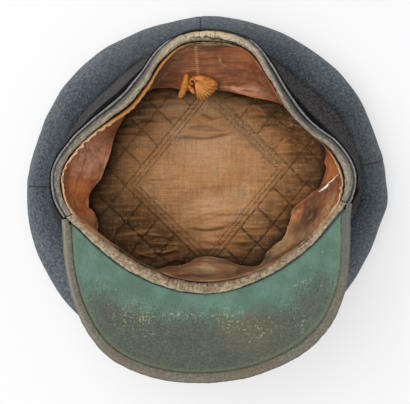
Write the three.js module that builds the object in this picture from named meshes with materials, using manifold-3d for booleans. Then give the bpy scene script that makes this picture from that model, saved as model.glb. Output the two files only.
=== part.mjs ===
// A soft wool peaked cap that lies upside down on its crown, in millimetres.
// +Z is up, away from the surface it lies on. The peak points to -Y and the back of the head to +Y.
// The origin is on the surface, under the middle of the crown.
// Angles are in degrees round the Z axis: 0 is the right of the cap as it lies, 90 its back.
import * as THREE from "three";
import { mergeVertices } from "three/addons/utils/BufferGeometryUtils.js";
import Module from "manifold-3d";

// Driving dimensions
const CLEARANCE = 0.3; // between neighbouring pieces
const WOOL = 2; // thickness of the crown cloth
const CROWN_FLAT_MARGIN = 30; // from the crown's edge in to its flat bed
const CROWN_EDGE_HEIGHT = 17; // seam of the round top to the four quarters
const CROWN_LIP = 3; // upright edge of the round top
const CROWN_TUCK = 1; // how far that seam lies inside the crown's outline
const CROWN_BULGE = 5; // pull of the quarters outwards and upwards
const CROWN_BULGE_HEIGHT = 17;
const SEAM_HEIGHT = 47.5; // seam of the band to the crown
const SEAM_TILT = 3.5; // this seam is higher at the front and lower at the back
const BAND_CUT = 44; // height that the band is cut to
const BAND_MIDDLE = 0.45;
const BAND_WALL = 2.4;
const BINDING_WALL = 1.2;
const BINDING_LEG = 6;
const BINDING_GAP = 0.5;
const WELT_RADIUS = 0.8;
const WELT_DROP = 2;
const WELT_FROM = -5;
const WELT_TO = 190;
const PEAK_LEFT = 193; // angles of the two ends of the peak
const PEAK_RIGHT = 353;
const PEAK_DROP = 3.4; // from the band's edge down to the peak
const PEAK_RISE = 17; // of the peak's front edge over its seam
const PEAK_ROUNDNESS = 1.2;
const PEAK_HOLLOW = 0.45;
const PEAK_BOARD = 1.6;
const PEAK_SKIN = 0.8;
const PEAK_SEAM_GAP = 0.5;
const PEAK_BINDING_WALL = 1;
const PEAK_BINDING_LEG = 6.5;
const SWEATBAND_CUT = 46; // width that the leather is cut to
const SWEATBAND_WALL = 1.2;
const SWEATBAND_DROP = 0.6;
const SWEATBAND_CURL = 0.62;
const LINING_WALL = 1.2;
const LINING_FLAT_SHARE = 0.8; // flat bed of the lining, as a share of the band's inside
const LINING_LOW = 0.1; // where it meets the band, as a share of the band's height
const LINING_EDGE = 16; // height of its edge against the band
const LINING_GAP = 1;
const STRAP_WIDTH = 13;
const STRAP_WALL = 1.6;
const STRAP_GAP = 0.5;
const STRAP_LOW = 0.5; // its lower edge, as a share of the band's height
const STRAP_LEFT = 183; // angles of its two ends
const STRAP_RIGHT = 365;
const STRAP_STAND_OFF = 3; // how far the ends stand off the band
const STRAP_LOOSE = 10; // degrees of strap that stand off
const BOW_CENTRE = { x: -6, y: 79, z: 60 };
const BOW_LEAN = 40; // slope of the sweatband under the bow
const BOW_THICK = 4.4;
const STEP = 5; // degrees between sections
const COARSE_STEP = 7.5;

// Outline of the crown seen from above. It stands out a little at the side and back seams.
const CROWN = [
  { angle: 6, edge: 138.9 },
  { angle: 40, edge: 136.8 },
  { angle: 70, edge: 135.3 },
  { angle: 92, edge: 136.2 },
  { angle: 106, edge: 134.3 },
  { angle: 135, edge: 135.9 },
  { angle: 160, edge: 136.4 },
  { angle: 178, edge: 138.5 },
  { angle: 210, edge: 137.0 },
  { angle: 240, edge: 135.4 },
  { angle: 270, edge: 137.2 },
  { angle: 300, edge: 134.0 },
  { angle: 326, edge: 130.8 },
  { angle: 348, edge: 135.4 },
];

// Sections of the band: the outside of the binding at the rim, and the seam of the band to the crown.
// The soft rim stands out at the back and the two sides, and is pressed in between them.
const BAND = [
  { angle: 8, rim: 105.7, seam: 116.4 },
  { angle: 21, rim: 99.6, seam: 116.0 },
  { angle: 30, rim: 92.0, seam: 114.0 },
  { angle: 40, rim: 89.2, seam: 110.4 },
  { angle: 51, rim: 92.0, seam: 108.6 },
  { angle: 62, rim: 100.6, seam: 110.8 },
  { angle: 73, rim: 110.8, seam: 111.5 },
  { angle: 83, rim: 114.2, seam: 110.6 },
  { angle: 97, rim: 113.9, seam: 110.6 },
  { angle: 108, rim: 107.2, seam: 111.4 },
  { angle: 119, rim: 97.0, seam: 109.3 },
  { angle: 132, rim: 91.7, seam: 107.0 },
  { angle: 147, rim: 95.6, seam: 109.4 },
  { angle: 160, rim: 103.2, seam: 112.6 },
  { angle: 172, rim: 109.6, seam: 114.8 },
  { angle: 182, rim: 107.4, seam: 114.6 },
  { angle: 190, rim: 101.4, seam: 111.4 },
  { angle: 198, rim: 92.6, seam: 105.6 },
  { angle: 215, rim: 82.4, seam: 93.6 },
  { angle: 240, rim: 74.4, seam: 82.6 },
  { angle: 270, rim: 71.8, seam: 78.5 },
  { angle: 300, rim: 72.4, seam: 82.2 },
  { angle: 322, rim: 78.3, seam: 91.4 },
  { angle: 340, rim: 88.5, seam: 103.4 },
  { angle: 350, rim: 96.4, seam: 110.6 },
  { angle: 358, rim: 102.8, seam: 114.6 },
];

// Outer edge of the peak, seen from above.
const PEAK = [
  { angle: 190, edge: 104.8 },
  { angle: 200, edge: 108.6 },
  { angle: 210, edge: 115.0 },
  { angle: 222, edge: 123.8 },
  { angle: 234, edge: 132.2 },
  { angle: 244, edge: 135.4 },
  { angle: 270, edge: 133.4 },
  { angle: 298, edge: 131.4 },
  { angle: 312, edge: 128.2 },
  { angle: 324, edge: 120.6 },
  { angle: 336, edge: 111.4 },
  { angle: 348, edge: 104.8 },
  { angle: 358, edge: 103.8 },
];

// Free edge of the sweatband, deep in the cap. The leather has shrunk and curls away from the band:
// it leans in at the back, the left and the front, and one sharp fold ends the loose stretch at the right.
const SWEATBAND = [
  { angle: 0, edge: 82.5 },
  { angle: 9, edge: 88.0 },
  { angle: 19, edge: 90.5 },
  { angle: 32, edge: 84.5 },
  { angle: 42, edge: 82.5 },
  { angle: 52, edge: 82.0 },
  { angle: 63, edge: 78.0 },
  { angle: 82, edge: 77.0 },
  { angle: 102, edge: 81.0 },
  { angle: 118, edge: 83.5 },
  { angle: 132, edge: 83.5 },
  { angle: 146, edge: 82.5 },
  { angle: 158, edge: 77.4 },
  { angle: 170, edge: 79.5 },
  { angle: 184, edge: 88.6 },
  { angle: 193, edge: 84.2 },
  { angle: 215, edge: 72.5 },
  { angle: 236, edge: 64.5 },
  { angle: 251, edge: 56.8 },
  { angle: 264, edge: 48.2 },
  { angle: 277, edge: 48.2 },
  { angle: 290, edge: 56.2 },
  { angle: 305, edge: 66.0 },
  { angle: 322, edge: 64.2 },
  { angle: 336, edge: 67.2 },
  { angle: 349, edge: 66.4 },
];

// Bow of tan ribbon: a thin loop seen on edge, a knot and a fan-shaped loop.
const BOW = [
  { lobe: "thin loop", x: -11, y: 2, length: 6.5, width: 25, turn: -16 },
  { lobe: "knot", x: -5, y: 2.5, length: 12, width: 9, turn: 0 },
  { lobe: "fan loop", x: 5, y: -0.5, length: 19, width: 24, turn: 15 },
];

// Seams between the four crown quarters.
const QUARTERS = [
  { name: "crown_quarter_back_right", from: 10, to: 92 },
  { name: "crown_quarter_back_left", from: 92, to: 178 },
  { name: "crown_quarter_front_left", from: 178, to: 270 },
  { name: "crown_quarter_front_right", from: 270, to: 370 },
];

const radians = THREE.MathUtils.degToRad;
const lerp = THREE.MathUtils.lerp;

// A smooth value round the cap: a cubic through the rows of a table, that closes on itself.
function around(rows, column) {
  const count = rows.length;
  const row = (i) => rows[((i % count) + count) % count];
  const angleOf = (i) => row(i).angle + 360 * Math.floor(i / count);
  const slope = (i) =>
    (row(i + 1)[column] - row(i - 1)[column]) / (angleOf(i + 1) - angleOf(i - 1));
  return (angle) => {
    const turned = angle - 360 * Math.floor((angle - rows[0].angle) / 360);
    const i = rows.findLastIndex((each) => each.angle <= turned);
    const span = angleOf(i + 1) - angleOf(i);
    const t = (turned - angleOf(i)) / span;
    const rise = row(i + 1)[column] - row(i)[column];
    const start = slope(i) * span - rise;
    const end = slope(i + 1) * span - rise;
    return row(i)[column] + t * rise + t * (1 - t) * ((1 - t) * start - t * end);
  };
}

const crownEdge = around(CROWN, "edge");
const rimRadius = around(BAND, "rim");
const seamRadius = around(BAND, "seam");
const peakEdge = around(PEAK, "edge");
const sweatbandEdge = around(SWEATBAND, "edge");
const seamHeight = (angle) => SEAM_HEIGHT - SEAM_TILT * Math.sin(radians(angle));

// A point of a section: its distance from the Z axis and its height.
const point = (radius, height) => new THREE.Vector2(radius, height);

// Points on a quadratic curve between two ends, pulled towards a middle point.
function bend(start, middle, end, count) {
  const curve = new THREE.QuadraticBezierCurve(start, middle, end);
  return curve.getPoints(count);
}

// The line moved sideways, to its left, by a distance.
function beside(line, distance) {
  return line.map((here, i) => {
    const before = line[Math.max(i - 1, 0)];
    const after = line[Math.min(i + 1, line.length - 1)];
    const along = after.clone().sub(before).normalize();
    return point(here.x - along.y * distance, here.y + along.x * distance);
  });
}

// A wall of one thickness on the left of a line, as a closed section.
function wall(line, thickness) {
  return [...line, ...beside(line, thickness).reverse()];
}

// Angles from one end to the other: the ends, and the even steps between them.
function stations(from, to, step) {
  const inside = [];
  for (let angle = step * (Math.floor(from / step) + 1); angle < to - step / 4; angle += step) {
    if (angle > from + step / 4) inside.push(angle);
  }
  return [from, ...inside, to];
}

// A closed solid whose section at each angle is a closed loop of points.
// It goes right round the cap, or from the first angle to the last with flat ends.
function sweep(angles, sectionAt, rightRound) {
  const loops = angles.map(sectionAt);
  const size = loops[0].length;
  const positions = [];
  const poles = new Map();
  const index = loops.map((loop, i) =>
    loop.map((at, j) => {
      const onAxis = at.x < 1e-6;
      if (onAxis && poles.has(j)) return poles.get(j);
      const turn = radians(angles[i]);
      positions.push(at.x * Math.cos(turn), at.x * Math.sin(turn), at.y);
      const made = positions.length / 3 - 1;
      if (onAxis) poles.set(j, made);
      return made;
    }),
  );
  const faces = [];
  const face = (a, b, c) => {
    if (a !== b && b !== c && c !== a) faces.push(a, b, c);
  };
  const spans = rightRound ? angles.length : angles.length - 1;
  for (let i = 0; i < spans; i++) {
    const next = (i + 1) % angles.length;
    for (let j = 0; j < size; j++) {
      const up = (j + 1) % size;
      face(index[i][j], index[next][j], index[next][up]);
      face(index[i][j], index[next][up], index[i][up]);
    }
  }
  if (!rightRound) {
    const last = angles.length - 1;
    for (const [a, b, c] of THREE.ShapeUtils.triangulateShape(loops[0], [])) {
      face(index[0][a], index[0][b], index[0][c]);
    }
    for (const [a, b, c] of THREE.ShapeUtils.triangulateShape(loops[last], [])) {
      face(index[last][a], index[last][c], index[last][b]);
    }
  }
  const geometry = new THREE.BufferGeometry();
  geometry.setAttribute("position", new THREE.Float32BufferAttribute(positions, 3));
  geometry.setIndex(faces);
  return geometry;
}

const ring = (step, sectionAt) => sweep(stations(0, 360, step).slice(0, -1), sectionAt, true);
const arc = (from, to, step, sectionAt) => sweep(stations(from, to, step), sectionAt, false);

// The outer face of the band, from its seam up to its top edge under the binding.
// The band is cut to one height, so the rim is lower where the band leans.
function bandTop(angle) {
  const radius = rimRadius(angle) - BINDING_WALL - BINDING_GAP;
  const lean = radius - seamRadius(angle);
  return point(radius, seamHeight(angle) + Math.sqrt(BAND_CUT ** 2 - lean ** 2));
}
function bandLine(angle, shares) {
  const seam = point(seamRadius(angle), seamHeight(angle) + CLEARANCE / 2);
  const top = bandTop(angle);
  return shares.map((share) => seam.clone().lerp(top, share));
}

// A point beside the top of the band, so far out from its outer face and so far above its edge.
function atRim(angle, out, up) {
  const [low, top] = bandLine(angle, [0, 1]);
  const along = top.clone().sub(low).normalize();
  return point(top.x + along.y * out + along.x * up, top.y - along.x * out + along.y * up);
}

function crownTop() {
  return ring(COARSE_STEP, (angle) => {
    const edge = crownEdge(angle) - CROWN_TUCK;
    const flat = edge - CROWN_FLAT_MARGIN;
    const line = [point(0, 0), point(flat / 2, 0), point(flat, 0)];
    const lip = CROWN_EDGE_HEIGHT - CLEARANCE;
    for (const turn of [30, 60, 90]) {
      const out = flat + CROWN_FLAT_MARGIN * Math.sin(radians(turn));
      line.push(point(out, (lip - CROWN_LIP) * (1 - Math.cos(radians(turn)))));
    }
    return wall([...line, point(edge, lip)], WOOL);
  });
}

function crownQuarter({ from, to }) {
  const sideGap = THREE.MathUtils.radToDeg(CLEARANCE / 2 / seamRadius(270));
  return arc(from + sideGap, to - sideGap, COARSE_STEP, (angle) => {
    const edge = crownEdge(angle);
    const start = point(edge - CROWN_TUCK, CROWN_EDGE_HEIGHT);
    const middle = point(edge + CROWN_BULGE, CROWN_EDGE_HEIGHT + CROWN_BULGE_HEIGHT);
    const end = point(seamRadius(angle), seamHeight(angle) - CLEARANCE / 2);
    return wall(bend(start, middle, end, 5), WOOL);
  });
}

function band() {
  const shares = [0, BAND_MIDDLE, 1 - BINDING_LEG / BAND_CUT, 1];
  return ring(STEP, (angle) => wall(bandLine(angle, shares), BAND_WALL));
}

// The binding is folded over the band's edge: an outer leg, a rounded top and an inner leg.
function rimBinding() {
  const out = BINDING_GAP + BINDING_WALL;
  const inner = -BAND_WALL - BINDING_GAP;
  const corner = BINDING_WALL / 2;
  const section = [
    { out, up: -BINDING_LEG },
    { out, up: 0 },
    { out: out - corner, up: out },
    { out: -BAND_WALL / 2, up: out + corner },
    { out: inner - corner, up: out },
    { out: inner - BINDING_WALL, up: 0 },
    { out: inner - BINDING_WALL, up: -BINDING_LEG },
    { out: inner, up: -BINDING_LEG },
    { out: inner, up: BINDING_GAP },
    { out: BINDING_GAP, up: BINDING_GAP },
    { out: BINDING_GAP, up: -BINDING_LEG },
  ];
  return ring(STEP, (angle) => section.map((at) => atRim(angle, at.out, at.up)));
}

// A thin cord along the outside of the binding, from one end of the peak round the back to the other.
function rimWelt() {
  const middle = BINDING_GAP + BINDING_WALL + CLEARANCE + WELT_RADIUS;
  const sides = [0, 60, 120, 180, 240, 300];
  return arc(WELT_FROM, WELT_TO, STEP, (angle) =>
    sides.map((side) =>
      atRim(
        angle,
        middle + WELT_RADIUS * Math.cos(radians(side)),
        WELT_RADIUS * Math.sin(radians(side)) - WELT_DROP,
      ),
    ),
  );
}

// The outer face of the peak board: it starts beside the binding and rises towards the front.
function peakLine(angle, inset) {
  const across = (angle - PEAK_LEFT) / (PEAK_RIGHT - PEAK_LEFT);
  const rise = PEAK_RISE * Math.sin(Math.PI * across) ** PEAK_ROUNDNESS;
  const start = atRim(angle, BINDING_GAP + BINDING_WALL + PEAK_SEAM_GAP, -PEAK_DROP);
  const end = point(peakEdge(angle) - inset, start.y + rise);
  const middle = point(lerp(start.x, end.x, 0.5), lerp(start.y, end.y, PEAK_HOLLOW));
  return bend(start, middle, end, 2);
}
const peakInset = PEAK_BINDING_WALL + CLEARANCE;

function peakBoard() {
  return arc(PEAK_LEFT, PEAK_RIGHT, STEP, (angle) => wall(peakLine(angle, peakInset), PEAK_BOARD));
}

function peakLining() {
  return arc(PEAK_LEFT, PEAK_RIGHT, STEP, (angle) =>
    wall(beside(peakLine(angle, peakInset), PEAK_BOARD + CLEARANCE), PEAK_SKIN),
  );
}

// The binding round the peak: a leg on each face of the peak, and the fold round its edge.
function peakBinding() {
  const stack = PEAK_BOARD + CLEARANCE + PEAK_SKIN;
  return arc(PEAK_LEFT, PEAK_RIGHT, STEP, (angle) => {
    const line = peakLine(angle, peakInset);
    const edge = line[line.length - 1];
    const along = edge.clone().sub(line[line.length - 2]).normalize();
    const leg = Math.min(PEAK_BINDING_LEG, edge.x - line[0].x - 2 * PEAK_SEAM_GAP);
    const at = (out, up) =>
      point(edge.x + along.x * out - along.y * up, edge.y + along.y * out + along.x * up);
    const low = -CLEARANCE;
    const high = stack + CLEARANCE;
    return [
      at(-leg, low - PEAK_BINDING_WALL),
      at(0, low - PEAK_BINDING_WALL),
      at(CLEARANCE + PEAK_BINDING_WALL, stack / 2),
      at(0, high + PEAK_BINDING_WALL),
      at(-leg, high + PEAK_BINDING_WALL),
      at(-leg, high),
      at(CLEARANCE, high),
      at(CLEARANCE, low),
      at(-leg, low),
    ];
  });
}

// The leather is cut to one width, so its free edge lies less deep where it leans in more.
function sweatbandLine(angle) {
  const top = atRim(angle, -BAND_WALL - BINDING_GAP - BINDING_WALL - CLEARANCE, -SWEATBAND_DROP);
  const run = top.x - sweatbandEdge(angle);
  const free = point(sweatbandEdge(angle), top.y - Math.sqrt(SWEATBAND_CUT ** 2 - run ** 2));
  const middle = point(lerp(free.x, top.x, SWEATBAND_CURL), lerp(free.y, top.y, 0.5));
  return bend(free, middle, top, 3);
}

function sweatband() {
  return ring(STEP, (angle) => wall(sweatbandLine(angle), SWEATBAND_WALL));
}

// The lining lies on the crown and is caught against the inside of the band.
function lining() {
  const floor = WOOL + CLEARANCE;
  return ring(COARSE_STEP, (angle) => {
    const shares = [LINING_LOW, LINING_LOW + LINING_EDGE / BAND_CUT];
    const [low, high] = beside(bandLine(angle, shares), BAND_WALL + LINING_GAP);
    const flat = low.x * LINING_FLAT_SHARE;
    const side = bend(point(flat, floor), point(low.x, floor), low, 4);
    return wall([point(0, floor), point(flat / 2, floor), ...side, high], LINING_WALL);
  });
}

// The strap lies on the front of the band, under the peak. Its two ends stand off the band.
function chinStrap() {
  return arc(STRAP_LEFT, STRAP_RIGHT, STEP, (angle) => {
    const end = Math.min(angle - STRAP_LEFT, STRAP_RIGHT - angle);
    const loose = Math.max(0, 1 - end / STRAP_LOOSE);
    const off = STRAP_GAP + STRAP_WALL + STRAP_STAND_OFF * loose ** 2;
    const line = bandLine(angle, [STRAP_LOW, STRAP_LOW + STRAP_WIDTH / BAND_CUT]);
    return wall(beside(line, -off), STRAP_WALL);
  });
}

const wasm = await Module();
wasm.setup();

// A geometry with only its shared corner points, as a solid that can be joined.
function solidOf(geometry) {
  geometry.deleteAttribute("normal");
  geometry.deleteAttribute("uv");
  const merged = mergeVertices(geometry, 1e-4);
  return new wasm.Manifold(
    new wasm.Mesh({
      numProp: 3,
      vertProperties: merged.getAttribute("position").array,
      triVerts: new Uint32Array(merged.index.array),
    }),
  );
}

function geometryOf(solid) {
  const mesh = solid.getMesh();
  const geometry = new THREE.BufferGeometry();
  geometry.setAttribute("position", new THREE.BufferAttribute(mesh.vertProperties, 3));
  geometry.setIndex(new THREE.BufferAttribute(mesh.triVerts, 1));
  return geometry;
}

function sweatbandBow() {
  const lobes = BOW.map(({ x, y, length, width, turn }) => {
    const lobe = new THREE.SphereGeometry(0.5, 12, 8);
    lobe.scale(length, width, BOW_THICK);
    lobe.rotateZ(radians(turn));
    return solidOf(lobe.translate(x, y, 0));
  });
  const bow = geometryOf(lobes.reduce((joined, lobe) => joined.add(lobe)));
  bow.rotateX(radians(BOW_LEAN));
  return bow.translate(BOW_CENTRE.x, BOW_CENTRE.y, BOW_CENTRE.z);
}

// Finishes: the colour of each cloth or leather and how dull it is.
const FINISHES = {
  wool: { color: 0x58626a, roughness: 0.95 },
  ribbedBand: { color: 0x3e3c3d, roughness: 0.9 },
  paleStrip: { color: 0x9a9180, roughness: 0.85 },
  greenLeathercloth: { color: 0x5f8470, roughness: 0.6 },
  wornStrip: { color: 0x7c776c, roughness: 0.8 },
  brownLeather: { color: 0x86543a, roughness: 0.45 },
  tanRibbon: { color: 0xc07a3e, roughness: 0.7 },
  brownLining: { color: 0x94683f, roughness: 0.8 },
  strapLeather: { color: 0x4a2f22, roughness: 0.5 },
};

const cap = new THREE.Group();
cap.name = "peaked_cap";

function addPiece(name, geometry, finish) {
  const material = new THREE.MeshStandardMaterial({ ...FINISHES[finish], metalness: 0 });
  const mesh = new THREE.Mesh(geometry, material);
  mesh.name = name;
  cap.add(mesh);
}

addPiece("crown_top", crownTop(), "wool");
for (const quarter of QUARTERS) {
  addPiece(quarter.name, crownQuarter(quarter), "wool");
}
addPiece("band", band(), "ribbedBand");
addPiece("rim_binding", rimBinding(), "paleStrip");
addPiece("rim_welt", rimWelt(), "paleStrip");
addPiece("peak", peakBoard(), "wool");
addPiece("peak_lining", peakLining(), "greenLeathercloth");
addPiece("peak_binding", peakBinding(), "wornStrip");
addPiece("sweatband", sweatband(), "brownLeather");
addPiece("sweatband_bow", sweatbandBow(), "tanRibbon");
addPiece("lining", lining(), "brownLining");
addPiece("chin_strap", chinStrap(), "strapLeather");

export default cap;
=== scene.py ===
"""A soft wool peaked cap, old and worn, that lies upside down on its crown.

Shapes are worked out in millimetres in the part's own frame: +Z is up, the peak points to -Y and the
back of the head to +Y. Angles are in degrees round the Z axis, counterclockwise from +X.
"""

import bpy
import numpy as np
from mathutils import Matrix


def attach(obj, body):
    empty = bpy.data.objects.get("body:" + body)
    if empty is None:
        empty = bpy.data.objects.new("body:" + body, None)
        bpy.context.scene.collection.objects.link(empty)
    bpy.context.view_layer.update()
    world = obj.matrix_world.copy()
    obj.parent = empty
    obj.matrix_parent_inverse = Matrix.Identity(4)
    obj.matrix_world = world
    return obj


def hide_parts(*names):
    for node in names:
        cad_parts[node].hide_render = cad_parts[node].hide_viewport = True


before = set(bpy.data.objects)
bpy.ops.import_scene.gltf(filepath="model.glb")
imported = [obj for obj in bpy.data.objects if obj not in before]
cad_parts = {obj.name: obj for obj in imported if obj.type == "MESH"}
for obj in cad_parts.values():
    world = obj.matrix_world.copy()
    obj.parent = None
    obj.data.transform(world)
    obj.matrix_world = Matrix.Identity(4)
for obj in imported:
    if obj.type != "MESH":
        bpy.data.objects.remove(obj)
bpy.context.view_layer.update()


# Round top of the crown
# A disc of blue-grey wool cloth that the cap rests on, pressed flat by its weight. Its rounded edge
# turns up to the seam where the four quarters are sewn on.

MM = 0.001
WOOL_WALL = 2.0
# The crown's outline: angle, distance from the axis.
CROWN_EDGE = (
    (6, 138.9), (40, 136.8), (70, 135.3), (92, 136.2), (106, 134.3), (135, 135.9), (160, 136.4),
    (178, 138.5), (210, 137.0), (240, 135.4), (270, 137.2), (300, 134.0), (326, 130.8),
    (348, 135.4),
)
CROWN_TUCK = 1.0
CROWN_MARGIN = 30.0
CROWN_MARGIN_HEIGHT = 13.7
CROWN_LIP = 3.0
CROWN_EDGE_HEIGHT = 17.0
SEAM_ROOM = 0.3
FLAT_ROWS, BEND_ROWS, LIP_ROWS = 12, 20, 4


def around(rows, angle):
    """A value round the cap from rows of (angle, value): a cubic that passes through every row and
    closes on itself, with the slope of the line between its two neighbours at each row."""
    knots, values = np.array(rows, float).T
    turned_to = knots[0] + (np.asarray(angle, float) - knots[0]) % 360
    low = np.searchsorted(knots, turned_to, side="right") + 1
    knots = np.concatenate([knots[-2:] - 360, knots, knots[:2] + 360])
    values = np.concatenate([values[-2:], values, values[:2]])
    slopes = (values[2:] - values[:-2]) / (knots[2:] - knots[:-2])
    span = knots[low + 1] - knots[low]
    rise = values[low + 1] - values[low]
    t = (turned_to - knots[low]) / span
    bend = (1 - t) * (slopes[low - 1] * span - rise) - t * (slopes[low] * span - rise)
    return values[low] + t * rise + t * (1 - t) * bend


def turned(angle, radius, height):
    """Points at these angles, distances from the Z axis and heights."""
    turn = np.radians(angle)
    return np.stack(np.broadcast_arrays(radius * np.cos(turn), radius * np.sin(turn), height), -1)


def unit(vectors):
    """The same directions with a length of 1."""
    return vectors / np.maximum(np.linalg.norm(vectors, axis=-1, keepdims=True), 1e-9)


def waver(points, size, seed, waves=24):
    """Soft unevenness of about -1 to 1: a sum of plane waves of about this length, in directions and
    phases drawn from a seed."""
    draw = np.random.default_rng(seed)
    ways = unit(draw.normal(size=(waves, 3))) * 2 * np.pi / (size * draw.uniform(0.7, 1.5, (waves, 1)))
    phases = draw.uniform(0, 2 * np.pi, waves)
    return np.cos(points @ ways.T + phases).sum(-1) / np.sqrt(waves)


def facing(grid, ring=False):
    """The direction across a grid's columns and rows at each point: outwards where the columns follow
    the angle and the rows go out and up from the middle of the crown."""
    along = np.roll(grid, -1, 1) - np.roll(grid, 1, 1) if ring else np.gradient(grid, axis=1)
    out = np.cross(along, np.gradient(grid, axis=0))
    if np.abs(out[0]).max() < 1e-6:
        out[0] = out[1].mean(0)
    return unit(out)


def lifted(grid, lift, ring=False):
    """A grid's points moved by so many millimetres in the direction across it."""
    return grid + lift[..., None] * facing(grid, ring)


def quads_of(number, closed, caps=None):
    """The quads of a grid of point numbers. closed joins the last row to the first, and caps closes the
    two end columns with a ladder between two lists of rows, with a triangle where a row is repeated."""
    rows = np.concatenate([number, number[:closed]])
    quads = [np.stack([rows[:-1, :-1], rows[:-1, 1:], rows[1:, 1:], rows[1:, :-1]], -1).reshape(-1, 4)]
    if caps:
        near, far = number[caps[0]], number[caps[1]]
        for column, step in ((0, 1), (-1, -1)):
            ladder = [near[:-1, column], near[1:, column], far[1:, column], far[:-1, column]]
            quads.append(np.stack(ladder, -1)[:, ::step])
    return np.concatenate(quads)


def piece_of(name, points, corners, marks=None, lay=None, lay_corners=None):
    """A piece from points and the point numbers of its faces, turned to face outwards. marks are named
    values at the points, and lay is the flat place of each corner in metres."""
    ends = points[corners]
    volume = (ends[:, 0] * (np.cross(ends[:, 1], ends[:, 2]) + np.cross(ends[:, 2], ends[:, 3]))).sum()
    turn = 1 if volume > 0 else -1
    corners = corners[:, ::turn]
    keep = corners != np.roll(corners, 1, axis=1)
    used, index = np.unique(corners[keep], return_inverse=True)
    sizes = keep.sum(1)
    mesh = bpy.data.meshes.new(name)
    mesh.vertices.add(len(used))
    mesh.vertices.foreach_set("co", (points[used] * MM).ravel())
    mesh.loops.add(len(index))
    mesh.loops.foreach_set("vertex_index", index.ravel())
    mesh.polygons.add(len(corners))
    mesh.polygons.foreach_set("loop_start", np.cumsum(sizes) - sizes)
    for mark, values in (marks or {}).items():
        mesh.attributes.new(mark, "FLOAT", "POINT").data.foreach_set("value", values.ravel()[used])
    if lay is not None:
        mesh.uv_layers.new(name="lay").data.foreach_set("uv", lay[lay_corners[:, ::turn][keep]].ravel())
    mesh.update(calc_edges=True)
    mesh.shade_smooth()
    made = bpy.data.objects.new(name, mesh)
    bpy.context.scene.collection.objects.link(made)
    return made


def skin(name, face, wall, ring=False, pole=False, back_step=1, marks=None, lay=None, back=None):
    """A wall of cloth or leather behind a grid of face points: the face, a back that is one wall behind
    it with every back_step-th row, and rounded edges. With ring the last column joins the first, and
    with pole the first row is one point. marks and lay, in millimetres, are given on the face grid."""
    rows, columns = face.shape[:2]
    behind = wall * facing(face, ring) if back is None else face - back
    back_rows = np.r_[0 : rows - 1 : back_step, rows - 1][::-1]
    edges = []
    for end, inner in ((0, 1), (-1, -2)):
        lip = 0.4 * np.linalg.norm(behind[end], axis=-1, keepdims=True) * unit(face[end] - face[inner])
        edges += [face[end] - 0.2 * behind[end] + lip, face[end] - 0.8 * behind[end] + lip]
    loop = np.concatenate([face, edges[2:], (face - behind)[back_rows]])
    source = np.r_[:rows, rows - 1, rows - 1, back_rows]
    if not pole:
        loop = np.concatenate([edges[:1], loop, edges[1:2]])
        source = np.r_[0, source, 0]
    number = np.arange(len(loop) * columns).reshape(-1, columns)
    if pole:
        number[[0, -1]] = number[[0, -1], :1]
    wrapped = np.concatenate([number, number[:, :1]], 1) if ring else number
    behind_row = len(loop) - 1 - np.searchsorted(back_rows[::-1], np.arange(rows), "right")
    caps = None if ring else (np.arange(rows + 2), np.r_[len(loop) - 1, behind_row, rows + 2])
    corners = quads_of(wrapped, int(not pole), caps)
    marks = {mark: np.broadcast_to(on, (rows, columns))[source] for mark, on in (marks or {}).items()}
    if lay is None:
        return piece_of(name, loop.reshape(-1, 3), corners, marks)
    lay = lay[source] * MM
    lay_number = np.arange(lay.shape[0] * lay.shape[1]).reshape(lay.shape[:2])
    lay_corners = quads_of(lay_number, int(not pole), caps)
    return piece_of(name, loop.reshape(-1, 3), corners, marks, lay.reshape(-1, 2), lay_corners)


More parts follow.
